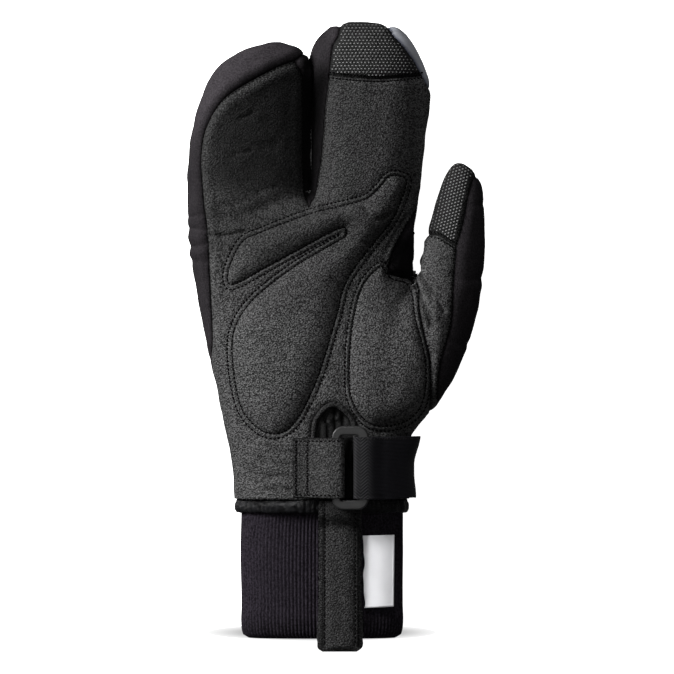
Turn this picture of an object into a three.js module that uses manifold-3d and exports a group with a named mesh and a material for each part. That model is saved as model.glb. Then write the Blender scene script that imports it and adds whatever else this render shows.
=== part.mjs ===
// A right-hand winter cycling mitt with a split, two-lobed finger part: the little and ring
// fingers share one lobe, the middle and index fingers the other, and the thumb has its own.
// It lies on its back with the palm up. X points to the thumb side, Y to the fingertips and
// Z up through the palm. Lengths are in millimetres.
import * as THREE from 'three';
import { mergeVertices } from 'three/addons/utils/BufferGeometryUtils.js';
import Module from 'manifold-3d';

const wasm = await Module();
wasm.setup();

// Driving dimensions
const WALL = 3.0;             // padded leather or softshell wall
const GAP = 0.3;              // clearance between pieces that are sewn together
const RING_SIDES = 20;        // sides of a section through the hand
const MIDDLE = 0.44;          // height of a section's widest line, as a share of its depth
const HEM_Y = -76;            // lower edge of the leather and of the softshell
const BINDING_HEIGHT = 6.6;
const BINDING_WALL = 3.0;
const CUFF_TOP = -70;
const CUFF_MOUTH = -141.5;
const CUFF_WALL = 2.0;
const RIBS = 52;
const RIB_DEPTH = 0.5;
const PAD_HEIGHTS = [1.3, 2.3];     // a pad's rim and crown above the palm
const PAD_STEP = 2.2;               // how far the crown stands in from the rim
const STRAP_LOW = -75.6;
const STRAP_WIDTH = 29;
const STRAP_THICK = 1.2;
const LOOP_WIDTH = 17.4;
const LOOP_BACK_WIDTH = 21.4;
const LOOP_THICK = 1.2;
const LABEL_THICK = 0.5;
const ORIGIN = { x: -0.1, y: 0.35 };  // middle of the outline, which becomes the origin

/** Turns rows of numbers into objects with the named columns. */
function table(columns, rows) {
  return rows.map((row) => Object.fromEntries(columns.map((name, i) => [name, row[i]])));
}

// Sections across the hand, from the wrist to the fingertips. left and right are the outline
// from above, back and palm the heights of the two faces, round the squareness of the section
// and end the share of a wall's thickness that is measured along the finger, negative at a lower end.
const COLUMNS = ['y', 'left', 'right', 'back', 'palm', 'round', 'end'];

const HAND = table(COLUMNS, [
  [-76, -47.9, 34.6, -1.5, 41.0, 2.6, 0],
  [-58, -49.2, 34.6, -2.0, 42.0, 2.6, 0],
  [-46.4, -51.6, 35.4, -2.0, 42.4, 2.6, 0],
  [-42, -52.6, 38.6, -2.0, 43.0, 2.6, 0],
  [-30, -55.0, 40.2, -2.0, 43.6, 2.6, 0],
  [-14, -58.5, 40.5, -2.0, 43.8, 2.6, 0],
  [22, -66.0, 37.0, -2.0, 41.6, 2.6, 0],
  [52, -69.8, 37.0, -1.5, 38.8, 2.6, 0],
  [59, -69.6, 37.2, -1.0, 37.6, 2.6, 0.3],
  [64, -66.0, 34.0, 3.0, 34.0, 2.4, 0.8],
  [66, -56.0, 26.0, 9.0, 28.0, 2.2, 1],
]);

const OUTER_LOBE = table(COLUMNS, [
  [30, -64.0, -16.0, 2.0, 36.0, 2.4, 0],
  [66, -70.2, -13.2, -0.5, 38.6, 2.4, 0],
  [80, -69.9, -13.2, 0.6, 39.4, 2.4, 0],
  [95, -68.2, -13.1, 3.0, 40.6, 2.4, 0],
  [109, -64.9, -13.0, 6.6, 42.4, 2.4, 0],
  [119, -60.6, -13.0, 10.0, 43.6, 2.4, 0.1],
  [127, -55.4, -13.1, 14.0, 43.6, 2.3, 0.3],
  [133, -47.5, -14.6, 18.6, 42.0, 2.2, 0.6],
  [136.6, -39.0, -18.6, 23.0, 38.6, 2.1, 0.85],
  [138.8, -31.5, -26.5, 28.0, 33.4, 2.0, 1],
]);

const INNER_LOBE = table(COLUMNS, [
  [30, -9.0, 34.0, 2.0, 36.0, 2.4, 0],
  [66, -12.2, 39.0, -0.5, 38.4, 2.4, 0],
  [95, -12.2, 42.3, 1.4, 38.6, 2.4, 0],
  [119, -12.2, 44.1, 5.4, 39.2, 2.4, 0],
  [128, -11.8, 41.4, 7.6, 39.0, 2.4, 0.1],
  [136, -9.8, 37.5, 10.4, 38.0, 2.4, 0.3],
  [142, -6.8, 33.6, 13.6, 36.0, 2.3, 0.6],
  [146, -2.6, 27.0, 17.4, 32.4, 2.2, 0.85],
  [147.8, 3.0, 17.6, 21.6, 27.4, 2.0, 1],
]);

const THUMB = table(COLUMNS, [
  [-40, 6.0, 40.6, 4.0, 38.0, 2.2, -0.2],
  [-28, 8.0, 50.4, 3.0, 40.6, 2.2, 0],
  [-14, 10.0, 58.2, 3.4, 41.4, 2.2, 0],
  [2, 16.0, 64.0, 4.6, 41.6, 2.2, 0],
  [27, 36.4, 69.0, 8.8, 41.2, 2.2, 0],
  [38, 39.8, 70.0, 11.0, 41.2, 2.2, 0],
  [58, 45.4, 69.8, 15.0, 41.0, 2.2, 0],
  [67, 48.2, 69.2, 17.2, 40.2, 2.2, 0.2],
  [75, 50.9, 67.0, 20.4, 38.4, 2.2, 0.5],
  [79.6, 53.4, 63.2, 23.6, 35.8, 2.1, 0.8],
  [82.2, 56.0, 59.4, 27.6, 31.8, 2.0, 1],
]);

const CUFF = table(COLUMNS, [
  [CUFF_TOP, -43.2, 30.0, 4.4, 36.4, 2.6, 0],
  [-84, -43.2, 30.0, 4.2, 36.4, 2.6, 0],
  [-92, -44.0, 30.8, -0.6, 36.0, 2.8, 0],
  [CUFF_MOUTH + 3, -44.2, 31.0, -0.8, 35.0, 2.9, 0],
  [CUFF_MOUTH, -43.2, 30.0, 0.2, 34.2, 2.9, 0],
]);

/** The points of one section, anticlockwise from its thumb side, grown outwards by grow. */
function ring(section, grow, sides, ripple = () => 0) {
  const sideways = grow * Math.sqrt(1 - section.end ** 2);
  const x = (section.left + section.right) / 2;
  const halfWidth = (section.right - section.left) / 2 + sideways;
  const z = section.back + MIDDLE * (section.palm - section.back);
  const up = section.palm - z + sideways;
  const down = z - section.back + sideways;
  const power = 2 / section.round;
  return Array.from({ length: sides }, (_, i) => {
    const angle = (2 * Math.PI * i) / sides;
    const [c, s] = [Math.cos(angle), Math.sin(angle)];
    const out = 1 + ripple(i) / halfWidth;
    return new THREE.Vector3(
      x + out * halfWidth * Math.sign(c) * Math.abs(c) ** power,
      section.y + grow * section.end,
      Math.max(z + out * (s > 0 ? up : down) * Math.sign(s) * Math.abs(s) ** power, -grow),
    );
  });
}

/** A solid from closed rings of equal length, its two ends closed by a fan each. */
function skin(rings) {
  const sides = rings[0].length;
  const points = rings.flat();
  const faces = [];
  for (let r = 0; r + 1 < rings.length; r += 1) {
    for (let i = 0; i < sides; i += 1) {
      const [a, b] = [r * sides + i, r * sides + ((i + 1) % sides)];
      faces.push([a, a + sides, b], [b, a + sides, b + sides]);
    }
  }
  for (const [first, turn] of [[0, 1], [(rings.length - 1) * sides, -1]]) {
    const middle = points.length;
    const centre = new THREE.Vector3();
    for (let i = 0; i < sides; i += 1) {
      centre.addScaledVector(points[first + i], 1 / sides);
      const [a, b] = [first + i, first + ((i + 1) % sides)];
      faces.push(turn > 0 ? [a, b, middle] : [b, a, middle]);
    }
    points.push(centre);
  }
  const geometry = new THREE.BufferGeometry().setFromPoints(points);
  geometry.setIndex(faces.flat());
  return solid(geometry);
}

/** A manifold solid from a closed three.js geometry, turned the right way out if need be. */
function solid(geometry) {
  geometry.deleteAttribute('normal');
  geometry.deleteAttribute('uv');
  const merged = mergeVertices(geometry, 1e-4);
  const index = Uint32Array.from(merged.index.array);
  const at = merged.attributes.position;
  const [a, b, c] = [0, 1, 2].map(() => new THREE.Vector3());
  let volume = 0;
  for (let i = 0; i < index.length; i += 3) {
    [a, b, c].forEach((v, k) => v.fromBufferAttribute(at, index[i + k]));
    volume += a.dot(b.cross(c));
  }
  if (volume < 0) {
    for (let i = 0; i < index.length; i += 3) {
      [index[i], index[i + 1]] = [index[i + 1], index[i]];
    }
  }
  const mesh = new wasm.Mesh({
    numProp: 3, vertProperties: Float32Array.from(at.array), triVerts: index,
  });
  return new wasm.Manifold(mesh);
}

/** A loft through the sections of a table. */
function loft(sections, grow, sides = RING_SIDES) {
  return skin(sections.map((section) => ring(section, grow, sides)));
}

/** The whole glove's outer form as one solid, grown by grow all over. */
function form(grow) {
  return [OUTER_LOBE, INNER_LOBE, THUMB].reduce(
    (whole, lobe) => whole.add(loft(lobe, grow)), loft(HAND, grow));
}

/** Points of a smooth open curve through the given [x, y] points. */
function curve(points, steps) {
  const spline = new THREE.SplineCurve(points.map(([x, y]) => new THREE.Vector2(x, y)));
  return spline.getSpacedPoints(steps);
}

/** An outline moved outwards by distance, or inwards where distance is negative. */
function offset(outline, distance) {
  const turn = THREE.ShapeUtils.area(outline) > 0 ? 1 : -1;
  const count = outline.length;
  return outline.map((point, i) => {
    const before = outline[(i + count - 1) % count];
    const after = outline[(i + 1) % count];
    const d1 = point.clone().sub(before).normalize();
    const d2 = after.clone().sub(point).normalize();
    const normal = new THREE.Vector2(d1.y + d2.y, -d1.x - d2.x).normalize();
    const corner = Math.max(0.5, Math.sqrt((1 + d1.dot(d2)) / 2));
    return point.clone().addScaledVector(normal, (turn * distance) / corner);
  });
}

/** An upright prism over an outline, between two heights. */
function prism(outline, low, high) {
  const geometry = new THREE.ExtrudeGeometry(new THREE.Shape(outline), {
    depth: high - low, bevelEnabled: false,
  });
  geometry.translate(0, 0, low);
  return solid(geometry);
}

const v = (x, y) => new THREE.Vector2(x, y);
const FAR = 90;     // past the glove on every side
const SKY = 70;     // above the glove

// Seams seen from above the palm, each from its lower end to its upper end
const ULNAR_SEAM = curve([[-FAR, -9], [-59.4, -8.5], [-58.8, 3.3], [-59.7, 24.4], [-60.6, 44.7],
  [-63.2, 67.7], [-64.0, 84], [-62.5, 95], [-57, 106.5], [-48.9, 114.2], [-31, 124.6],
  [-19.4, 129.6]], 26);
const CLEFT_SEAM_OUTER = curve([[-12.6, 61.2], [-15.2, 70], [-16.2, 88], [-16.4, 110],
  [-16.6, 124], [-19.4, 129.6]], 8);
const CLEFT_SEAM_INNER = curve([[-12.6, 61.2], [-10.2, 69], [-7.3, 84.6], [-5.6, 105.8],
  [-3.6, 122.8]], 6);
const INDEX_SEAM = curve([[-3.6, 122.8], [-2.0, 136], [1.0, 143], [3.0, FAR + 70]], 6);
const GRIP_SEAM = curve([[-3.6, 122.8], [6.6, 121.6], [19, 120.8], [30, 121.6], [41.4, 123.1]], 4);
const TIP_SEAM = curve([[41.4, 123.1], [37, 130.4], [31, 137.8], [25, 145.4], [19, FAR + 70]], 6);
const CROTCH_SEAM = curve([[24.9, 29.6], [27.3, 40.4], [36.6, 57.4], [48, 72]], 6);
const THUMB_ROOT = curve([[44.6, -36], [44.9, -25], [44.2, -12], [41.6, -0.5], [38.4, 15],
  [36.4, 27.6]], 7);
const THUMB_SEAM_LOW = curve([[49.4, -36], [47.8, -26], [49.8, -9.4], [53.8, 4], [54.8, 20],
  [56.2, 42.3]], 10);
const THUMB_SEAM_HIGH = [...curve([[56.2, 42.3], [59.2, 52], [63.4, 71], [67.4, 76.4]], 6), v(FAR, 90)];
const THUMB_GRIP_SEAM = curve([[36, 47.6], [46, 48.0], [52, 45], [56.2, 42.3]], 4);

/** A seam's points from its upper end to its lower one. */
const back = (points) => [...points].reverse();

// Each panel's outline from above, and the height below which the back panel takes over
const PANELS = {
  palm_panel: {
    floor: 19,
    outline: [v(-FAR, HEM_Y - 20), v(40, HEM_Y - 20), v(40, -48), ...THUMB_ROOT,
      v(24.9, 29.6), ...CROTCH_SEAM.slice(1, -1), v(48, 72), v(FAR, 84), v(FAR, 114),
      v(45.6, 114), ...back(GRIP_SEAM), ...back(CLEFT_SEAM_INNER).slice(1),
      ...CLEFT_SEAM_OUTER.slice(1), ...back(ULNAR_SEAM).slice(1)],
  },
  index_grip: {
    floor: 19,
    outline: [...GRIP_SEAM, ...TIP_SEAM.slice(1), ...back(INDEX_SEAM).slice(0, -1)],
  },
  reflective_tip: {
    floor: 9,
    outline: [...TIP_SEAM, v(FAR, FAR + 70), v(FAR, 114), v(45.6, 114)],
  },
  cleft_gusset: {
    floor: 9,
    outline: [...back(CLEFT_SEAM_OUTER), ...CLEFT_SEAM_INNER.slice(1), ...INDEX_SEAM.slice(1, -1),
      v(-4, FAR + 70), v(-10.5, 134)],
  },
  crotch_gusset: {
    floor: 17,
    outline: [v(24.9, 29.6), v(36.4, 27.6), v(39.5, 34), v(48, 72), ...back(CROTCH_SEAM).slice(1, -1)],
  },
};

const THUMB_LEATHER = [...THUMB_ROOT, ...THUMB_GRIP_SEAM, ...back(THUMB_SEAM_LOW).slice(1, -1)];
const THUMB_GRIP = [...THUMB_GRIP_SEAM, ...THUMB_SEAM_HIGH.slice(1), v(FAR, FAR + 20),
  v(46, FAR + 20), v(46, 66)];
const THUMB_WHOLE = [...THUMB_ROOT, v(39.0, 33), v(47.6, 72), v(47.6, FAR + 10), v(FAR, FAR + 10),
  v(FAR, -36)];

// Sewn-down pads on the palm, as the middle line of their double stitching
const PALM_PAD = curve([[34.2, 72.4], [30.4, 76.4], [24.4, 76.0], [18.6, 69.6], [11.8, 64.9],
  [-11.8, 59], [-34.8, 50.3], [-44.6, 45.4], [-51, 33.2], [-51.4, 25.2], [-46.4, 24],
  [-27, 34.4], [1.2, 49.6], [3.6, 48.2], [1.4, 46.4], [-19.6, 34], [-39.4, 18.4],
  [-48.6, 4], [-49.6, -12], [-45.6, -33], [-36.6, -44], [-26.5, -46.2], [-17.6, -39.6],
  [-7.8, -20], [0.9, 8.2], [5.6, 25], [16.6, 41], [27.9, 55.4], [34.2, 72.4]], 54).slice(0, -1);
const THUMB_PAD = curve([[26.4, 28.4], [21.2, 34.2], [12, 25], [7.2, 9], [5.2, -12], [6.6, -30],
  [16, -41.8], [31.4, -41.4], [41.2, -32], [43.2, -13], [38.4, 8], [35.2, 24.6],
  [26.4, 28.4]], 30).slice(0, -1);
const NOTCH = [v(9.0, HEM_Y - 20), ...curve([[9.0, HEM_Y], [9.0, -46], [6.2, -36.6], [-1.6, -31.6],
  [-8.4, -37], [-10.6, -46], [-10.6, HEM_Y]], 16), v(-10.6, HEM_Y - 20)];

/** A flat outline given as [along, up] points, extruded sideways: along X over a width in Y for
 * a strap, along Y over a width in X for the loop. */
function extruded(points, start, width, alongY = false) {
  const shape = new THREE.Shape(points.map(([along, up]) => v(along, up)));
  const geometry = new THREE.ExtrudeGeometry(shape, { depth: width, bevelEnabled: false });
  if (alongY) {
    const axes = [[0, 1, 0], [0, 0, 1], [1, 0, 0]].map((axis) => new THREE.Vector3(...axis));
    geometry.applyMatrix4(new THREE.Matrix4().makeBasis(...axes));
    geometry.translate(start, 0, 0);
  } else {
    geometry.rotateX(Math.PI / 2);
    geometry.translate(0, start + width, 0);
  }
  return solid(geometry);
}

/** The outline of a strip of even thickness whose middle follows a path of [along, up] points. */
function stripOutline(path, thick) {
  const points = path.map(([along, up]) => new THREE.Vector3(along, up, 0));
  const line = new THREE.CatmullRomCurve3(points, false, 'centripetal')
    .getSpacedPoints(path.length * 2);
  const side = (sign) => line.map((point, i) => {
    const along = line[Math.min(i + 1, line.length - 1)].clone().sub(line[Math.max(i - 1, 0)]);
    along.normalize().multiplyScalar((sign * thick) / 2);
    return [point.x - along.y, point.y + along.x];
  });
  return [...side(1), ...side(-1).reverse()];
}

/** A rectangle with rounded corners as a list of points. */
function roundedBox(left, right, low, high, radius, steps = 5) {
  const shape = new THREE.Shape();
  const corners = [[right, high, 0], [left, high, 1], [left, low, 2], [right, low, 3]];
  for (const [x, y, quarter] of corners) {
    const cx = x + (quarter === 0 || quarter === 3 ? -radius : radius);
    const cy = y + (quarter < 2 ? -radius : radius);
    shape.absarc(cx, cy, radius, (quarter * Math.PI) / 2, ((quarter + 1) * Math.PI) / 2, false);
  }
  return shape.getPoints(steps).slice(0, -1);
}

/** One section of a table at any y between its rows. */
function sectionAt(sections, y) {
  const i = Math.max(1, sections.findIndex((row) => Math.sign(row.y - y)
    === Math.sign(sections.at(-1).y - sections[0].y)));
  const [a, b] = [sections[i - 1], sections[i]];
  const t = (y - a.y) / (b.y - a.y);
  return Object.fromEntries(COLUMNS.map((name) => [name, a[name] + t * (b[name] - a[name])]));
}

/** Height of the palm-side face of a section at x. */
function palmHeight(sections, x, y, grow = 0) {
  const s = sectionAt(sections, y);
  const z = s.back + MIDDLE * (s.palm - s.back);
  const share = Math.abs(x - (s.left + s.right) / 2) / ((s.right - s.left) / 2 + grow);
  return z + (s.palm - z + grow) * (1 - Math.min(share, 1) ** s.round) ** (1 / s.round);
}

const colours = {
  leather: [0x3b3b3c, 0.62, 0],
  softshell: [0x1d1a1b, 0.9, 0],
  grip: [0x2c2c2d, 0.55, 0],
  reflective: [0x8e9096, 0.45, 0.1],
  knit: [0x131214, 0.95, 0],
  satin: [0x17171b, 0.5, 0],
  elastic: [0x121214, 0.85, 0],
  plastic: [0x3a3b3d, 0.45, 0],
  label: [0xe6e6e8, 0.8, 0],
};
const materials = Object.fromEntries(Object.entries(colours).map(
  ([name, [color, roughness, metalness]]) => [
    name, new THREE.MeshStandardMaterial({ color, roughness, metalness }),
  ]));

const mitt = new THREE.Group();

/** Adds a solid to the mitt as a named mesh. */
function add(name, body, material) {
  const mesh = body.getMesh();
  const geometry = new THREE.BufferGeometry();
  const points = Float32Array.from(mesh.vertProperties);
  geometry.setAttribute('position', new THREE.BufferAttribute(points, 3));
  geometry.setIndex([...mesh.triVerts]);
  const piece = new THREE.Mesh(geometry, materials[material]);
  piece.name = name;
  piece.position.set(-ORIGIN.x, -ORIGIN.y, 0);
  mitt.add(piece);
}

// The hollow shell, open at the wrist, from which every panel is cut
const belowHem = prism([v(-FAR, HEM_Y - 30), v(FAR, HEM_Y - 30), v(FAR, HEM_Y + GAP / 2),
  v(-FAR, HEM_Y + GAP / 2)], -10, SKY);
const shell = form(0).subtract(form(-WALL)).subtract(belowHem);

// Panels of the hand
const panelMaterials = {
  palm_panel: 'leather', index_grip: 'grip', reflective_tip: 'reflective',
  cleft_gusset: 'softshell', crotch_gusset: 'softshell',
};
const thumbWhole = (grow) => prism(offset(THUMB_WHOLE, grow), -10, SKY);
let rest = shell.subtract(thumbWhole(GAP / 2));
for (const [name, { outline, floor }] of Object.entries(PANELS)) {
  let panel = shell.intersect(prism(offset(outline, -GAP / 2), floor + GAP / 2, SKY));
  panel = panel.subtract(thumbWhole(GAP / 2));
  if (name === 'palm_panel') {
    panel = panel.subtract(prism(NOTCH, 10, SKY));
  }
  add(name, largest(panel), panelMaterials[name]);
  rest = rest.subtract(prism(offset(outline, GAP / 2), floor - GAP / 2, SKY));
}
add('back_panel', largest(rest), 'softshell');

/** The biggest of a solid's separate bodies: slivers that a cut leaves behind are dropped. */
function largest(body) {
  return body.decompose().reduce((a, b) => (b.volume() > a.volume() ? b : a));
}

// Panels of the thumb
const THUMB_FLOOR = 22;
const thumb = shell.intersect(thumbWhole(-GAP / 2));
const thumbCut = (outline, grow) => prism(offset(outline, grow), THUMB_FLOOR - grow, SKY);
add('thumb_panel', largest(thumb.intersect(thumbCut(THUMB_LEATHER, -GAP / 2))), 'leather');
add('thumb_grip', largest(thumb.intersect(thumbCut(THUMB_GRIP, -GAP / 2))), 'grip');
add('thumb_back', largest(thumb.subtract(thumbCut(THUMB_LEATHER, GAP / 2))
  .subtract(thumbCut(THUMB_GRIP, GAP / 2))), 'softshell');

/** A pad with a stepped crown, lying on the palm. */
function pad(outline) {
  const [rim, crown] = PAD_HEIGHTS;
  const base = form(GAP);
  const low = form(GAP + rim).subtract(base).intersect(prism(outline, 22, SKY));
  const high = form(GAP + crown).subtract(base).intersect(prism(offset(outline, -PAD_STEP), 22, SKY));
  return largest(low.add(high));
}
add('palm_pad', pad(PALM_PAD), 'leather');
add('thumb_pad', pad(THUMB_PAD), 'leather');

// Cloth gusset in the notch at the wrist, and the piping round the notch
const gussetCut = prism(offset(NOTCH, -GAP), 20, SKY).subtract(belowHem);
add('wrist_gusset', largest(form(-0.9).subtract(form(-WALL + 0.2)).intersect(gussetCut)), 'softshell');
const pipingCut = prism(offset(NOTCH, 1.6), 20, SKY).subtract(prism(offset(NOTCH, 0.1), 10, SKY + 9))
  .subtract(prism([v(-FAR, HEM_Y - 30), v(FAR, HEM_Y - 30), v(FAR, -44), v(-FAR, -44)], -10, SKY + 9));
add('notch_piping', largest(form(GAP + 0.9).subtract(form(GAP)).intersect(pipingCut)), 'satin');

// Satin binding round the hem
const hemSection = sectionAt(HAND, HEM_Y + 2);
const bindingRing = (y, grow) => ring({ ...hemSection, y }, grow, RING_SIDES);
const bindingOuter = skin([bindingRing(HEM_Y - GAP / 2 - BINDING_HEIGHT, -1.6),
  bindingRing(HEM_Y - GAP / 2 - BINDING_HEIGHT + 1.6, -0.5),
  bindingRing(HEM_Y - GAP / 2 - 1.2, -0.5), bindingRing(HEM_Y - GAP / 2, -1.2)]);
const bindingInner = skin([bindingRing(HEM_Y - 20, -0.5 - BINDING_WALL),
  bindingRing(HEM_Y + 10, -0.5 - BINDING_WALL)]);
add('hem_binding', bindingOuter.subtract(bindingInner), 'satin');

// Ribbed knit cuff
const ripple = (i) => (i % 2 ? -RIB_DEPTH : 0);
const cuffOuter = skin(CUFF.map((section) => ring(section, 0, 2 * RIBS, ripple)));
const cuffRows = [{ ...CUFF[0], y: CUFF_TOP + 5 }, ...CUFF, { ...CUFF.at(-1), y: CUFF_MOUTH - 5 }];
const cuffInner = skin(cuffRows.map((section) => ring(section, -CUFF_WALL, RING_SIDES)));
add('rib_cuff', cuffOuter.subtract(cuffInner), 'knit');

// Wrist strap: a leather tab and an elastic band, each folded round one bar of a plastic ring
const RING_BOX = { left: -1.9, right: 15.3, low: -80.7, high: -41.6, z: 46.2, thick: 1.8 };
const SLOT = { left: 1.8, right: 10.4, low: -76.2, high: -45.9 };
const ringPlate = prism(roundedBox(RING_BOX.left, RING_BOX.right, RING_BOX.low, RING_BOX.high, 5.4),
  RING_BOX.z, RING_BOX.z + RING_BOX.thick);
const ringSlot = prism(roundedBox(SLOT.left, SLOT.right, SLOT.low, SLOT.high, 1.2, 2), 0, SKY);
add('strap_ring', ringPlate.subtract(ringSlot), 'plastic');

const barMiddle = RING_BOX.z + RING_BOX.thick / 2;
const wrap = RING_BOX.thick / 2 + GAP + STRAP_THICK / 2;   // from a bar's middle to the strap's
const tabEnd = SLOT.left + 2 * GAP + STRAP_THICK / 2;
/** Points of a strap's turn round the side of a bar, from its upper to its lower side. */
const roundBar = (x, side) => [0.9, 0, -0.9].map(
  (up) => [x + side * (0.5 - Math.abs(up) / 3), barMiddle + up]);
const palmAt = (x) => palmHeight(HAND, x, STRAP_LOW + STRAP_WIDTH) + GAP + STRAP_THICK / 2;
const tabPath = [[-20.2, palmAt(-20) + 1.7], [-12, palmAt(-12) + 2.0], [-4, barMiddle + wrap - 0.6],
  [-1, barMiddle + wrap], [tabEnd - 1.2, barMiddle + wrap], ...roundBar(tabEnd, 1),
  [tabEnd - 1.2, barMiddle - wrap], [-1, barMiddle - wrap], [-6, palmAt(-6) + 0.5],
  [-12, palmAt(-12) + 0.2], [-20.2, palmAt(-20) + 0.1]];
add('strap_tab', extruded(stripOutline(tabPath, STRAP_THICK), STRAP_LOW, STRAP_WIDTH - 0.6), 'leather');

const bandEnd = SLOT.right - 2 * GAP - STRAP_THICK / 2;
const wristSection = { ...sectionAt(HAND, STRAP_LOW + STRAP_WIDTH), right: 35.6 };
const bandSide = ring(wristSection, GAP + STRAP_THICK / 2 + 0.1, 60).slice(0, 12).reverse()
  .map((point) => [point.x, point.z]);
const bandPath = [[20.4, palmAt(20) + 0.3], [16, barMiddle - wrap - 0.2],
  [bandEnd + 1.2, barMiddle - wrap], ...roundBar(bandEnd, -1).reverse(),
  [bandEnd + 1.2, barMiddle + wrap], [16.4, barMiddle + wrap], [21, palmAt(21) + 2.2],
  ...bandSide.filter(([x]) => x > 24)];
add('elastic_band', extruded(stripOutline(bandPath, STRAP_THICK), STRAP_LOW, STRAP_WIDTH), 'elastic');

// Pull loop: one strip of leather folded at its lower end, on the front of the cuff
const LOOP = { x: 1.9, high: -76.6, low: -147.1, fold: 1.9 };
const loopHeight = (y) => Math.max(sectionAt(CUFF, Math.max(y, CUFF_MOUTH)).palm,
  y > HEM_Y - 9 ? hemSection.palm - 0.5 : 0) + 1.5 * GAP + LOOP_THICK / 2;
const loopYs = [LOOP.high, -83.4, -88.5, -94, -114, -137.5];
const loopLow = loopYs.map((y) => [y, loopHeight(y)]);
const loopPath = [...loopLow, [LOOP.low + 1.3, loopHeight(-141) + 0.1],
  [LOOP.low + LOOP_THICK / 2, loopHeight(-141) + LOOP.fold / 2],
  ...loopLow.map(([y, z]) => [y, z + LOOP.fold]).reverse()];
const middleOfLoop = loopLow.map(([y, z]) => [y, z + LOOP.fold / 2]);
const underside = [...middleOfLoop, [LOOP.low - 5, middleOfLoop.at(-1)[1]], [LOOP.low - 5, 0], [LOOP.high, 0]];
const [loopStart, loopBackStart] = [LOOP_WIDTH, LOOP_BACK_WIDTH].map((width) => LOOP.x - width / 2);
const loop = extruded(stripOutline(loopPath, LOOP_THICK), loopBackStart, LOOP_BACK_WIDTH, true);
const loopKeep = prism([v(loopStart, -FAR * 2), v(loopStart + LOOP_WIDTH, -FAR * 2),
  v(loopStart + LOOP_WIDTH, 0), v(loopStart, 0)], 0, SKY)
  .add(extruded(underside, loopBackStart - 1, LOOP_BACK_WIDTH + 2, true));
const loopCorners = prism(roundedBox(loopBackStart - 1, loopBackStart + LOOP_BACK_WIDTH + 1,
  LOOP.low, 0, 4.4), 0, SKY);
add('pull_loop', largest(loop.intersect(loopKeep).intersect(loopCorners)), 'leather');

// Blank woven label on the cuff, its left edge caught under the loop's
const LABEL = { left: 13.4, right: 27.4, low: -126.4, high: -93 };
const labelXs = [0, 0.25, 0.5, 0.75, 1].map((t) => LABEL.left + t * (LABEL.right - LABEL.left));
const labelPath = labelXs.map((x) => [x, palmHeight(CUFF, x, LABEL.high) + GAP + LABEL_THICK / 2]);
add('blank_label', extruded(stripOutline(labelPath, LABEL_THICK), LABEL.low,
  LABEL.high - LABEL.low), 'label');

mitt.updateMatrixWorld(true);
export default mitt;
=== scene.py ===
"""Visual model of a winter cycling mitt for the right hand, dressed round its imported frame.

The mitt lies on its back with the palm up. X points to the thumb side, Y to the fingertips and
Z up through the palm. The classes below work in millimetres of the mitt's own layout, and a
finished piece is moved to the frame's metres when it becomes an object.
"""

from __future__ import annotations

import itertools
import logging
import math
from dataclasses import dataclass, field
from enum import Enum
from typing import Callable, Sequence

import bmesh
import bpy
import numpy as np
from mathutils import Matrix, Vector
from mathutils.bvhtree import BVHTree

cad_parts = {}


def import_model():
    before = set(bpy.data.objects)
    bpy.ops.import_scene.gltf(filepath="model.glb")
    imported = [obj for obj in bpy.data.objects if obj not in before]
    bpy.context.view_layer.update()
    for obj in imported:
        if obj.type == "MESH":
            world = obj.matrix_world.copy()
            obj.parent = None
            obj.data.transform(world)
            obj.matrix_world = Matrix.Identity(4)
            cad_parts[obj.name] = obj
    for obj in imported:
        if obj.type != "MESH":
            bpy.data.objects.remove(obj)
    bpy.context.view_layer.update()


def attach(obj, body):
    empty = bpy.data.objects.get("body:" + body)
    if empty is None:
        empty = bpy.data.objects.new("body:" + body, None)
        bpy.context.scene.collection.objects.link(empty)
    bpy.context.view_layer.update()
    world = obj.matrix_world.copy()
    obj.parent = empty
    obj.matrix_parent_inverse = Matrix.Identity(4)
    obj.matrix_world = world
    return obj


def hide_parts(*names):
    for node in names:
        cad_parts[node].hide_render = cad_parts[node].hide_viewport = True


LOG = logging.getLogger("mitt")

# Sizes and places in the layout's millimetres, unless said otherwise.
MM = 0.001  # metres
ORIGIN = Vector((-0.1, 0.35, 0.0))  # the place that becomes the frame's origin
MIDDLE = 0.44  # share of a section's height at which it is widest
HEM_Y = -76.0
HEM_ROW = (HEM_Y, -47.9, 34.6, -1.5, 41.0, 2.6)  # section of the hand at the hem
CLEFT_X, CLEFT_LOW = -12.65, 61  # middle and lower end of the cleft between the finger lobes
THUMB_LOW = 22  # lower end of the gap beside the thumb
PALM_FLOOR = 19  # height above which the leather of the palm lies
CUFF_TOP = 36.0  # height of the cuff's palm side
SKY = 120.0  # height from which the trims are dropped on the mitt
FAR = 90.0  # beyond every side of the mitt
REACH = 13.0  # largest distance that a line's chart holds
CELL = 0.45  # step of a line's chart
CHART_LOW, CHART_HIGH = (-100, -115), (100, 175)
SEAM_REACH = 12.0  # largest distance from a seam that is told apart
STITCH_GAP = 1.15  # from the middle of a pad's double seam to each of its rows
RESTING = 0.05  # lowest height of the mitt above the floor
RIB = 1.65  # width of one rib of the knit
TRIM_WALL = 1.2  # thickness of the tab, the band and the loop

Points = Sequence[Sequence[float]]
Place = Callable[[np.ndarray, np.ndarray], np.ndarray]
Ends = Callable[[np.ndarray], tuple[np.ndarray, np.ndarray]]


# Lines and fields


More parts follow.
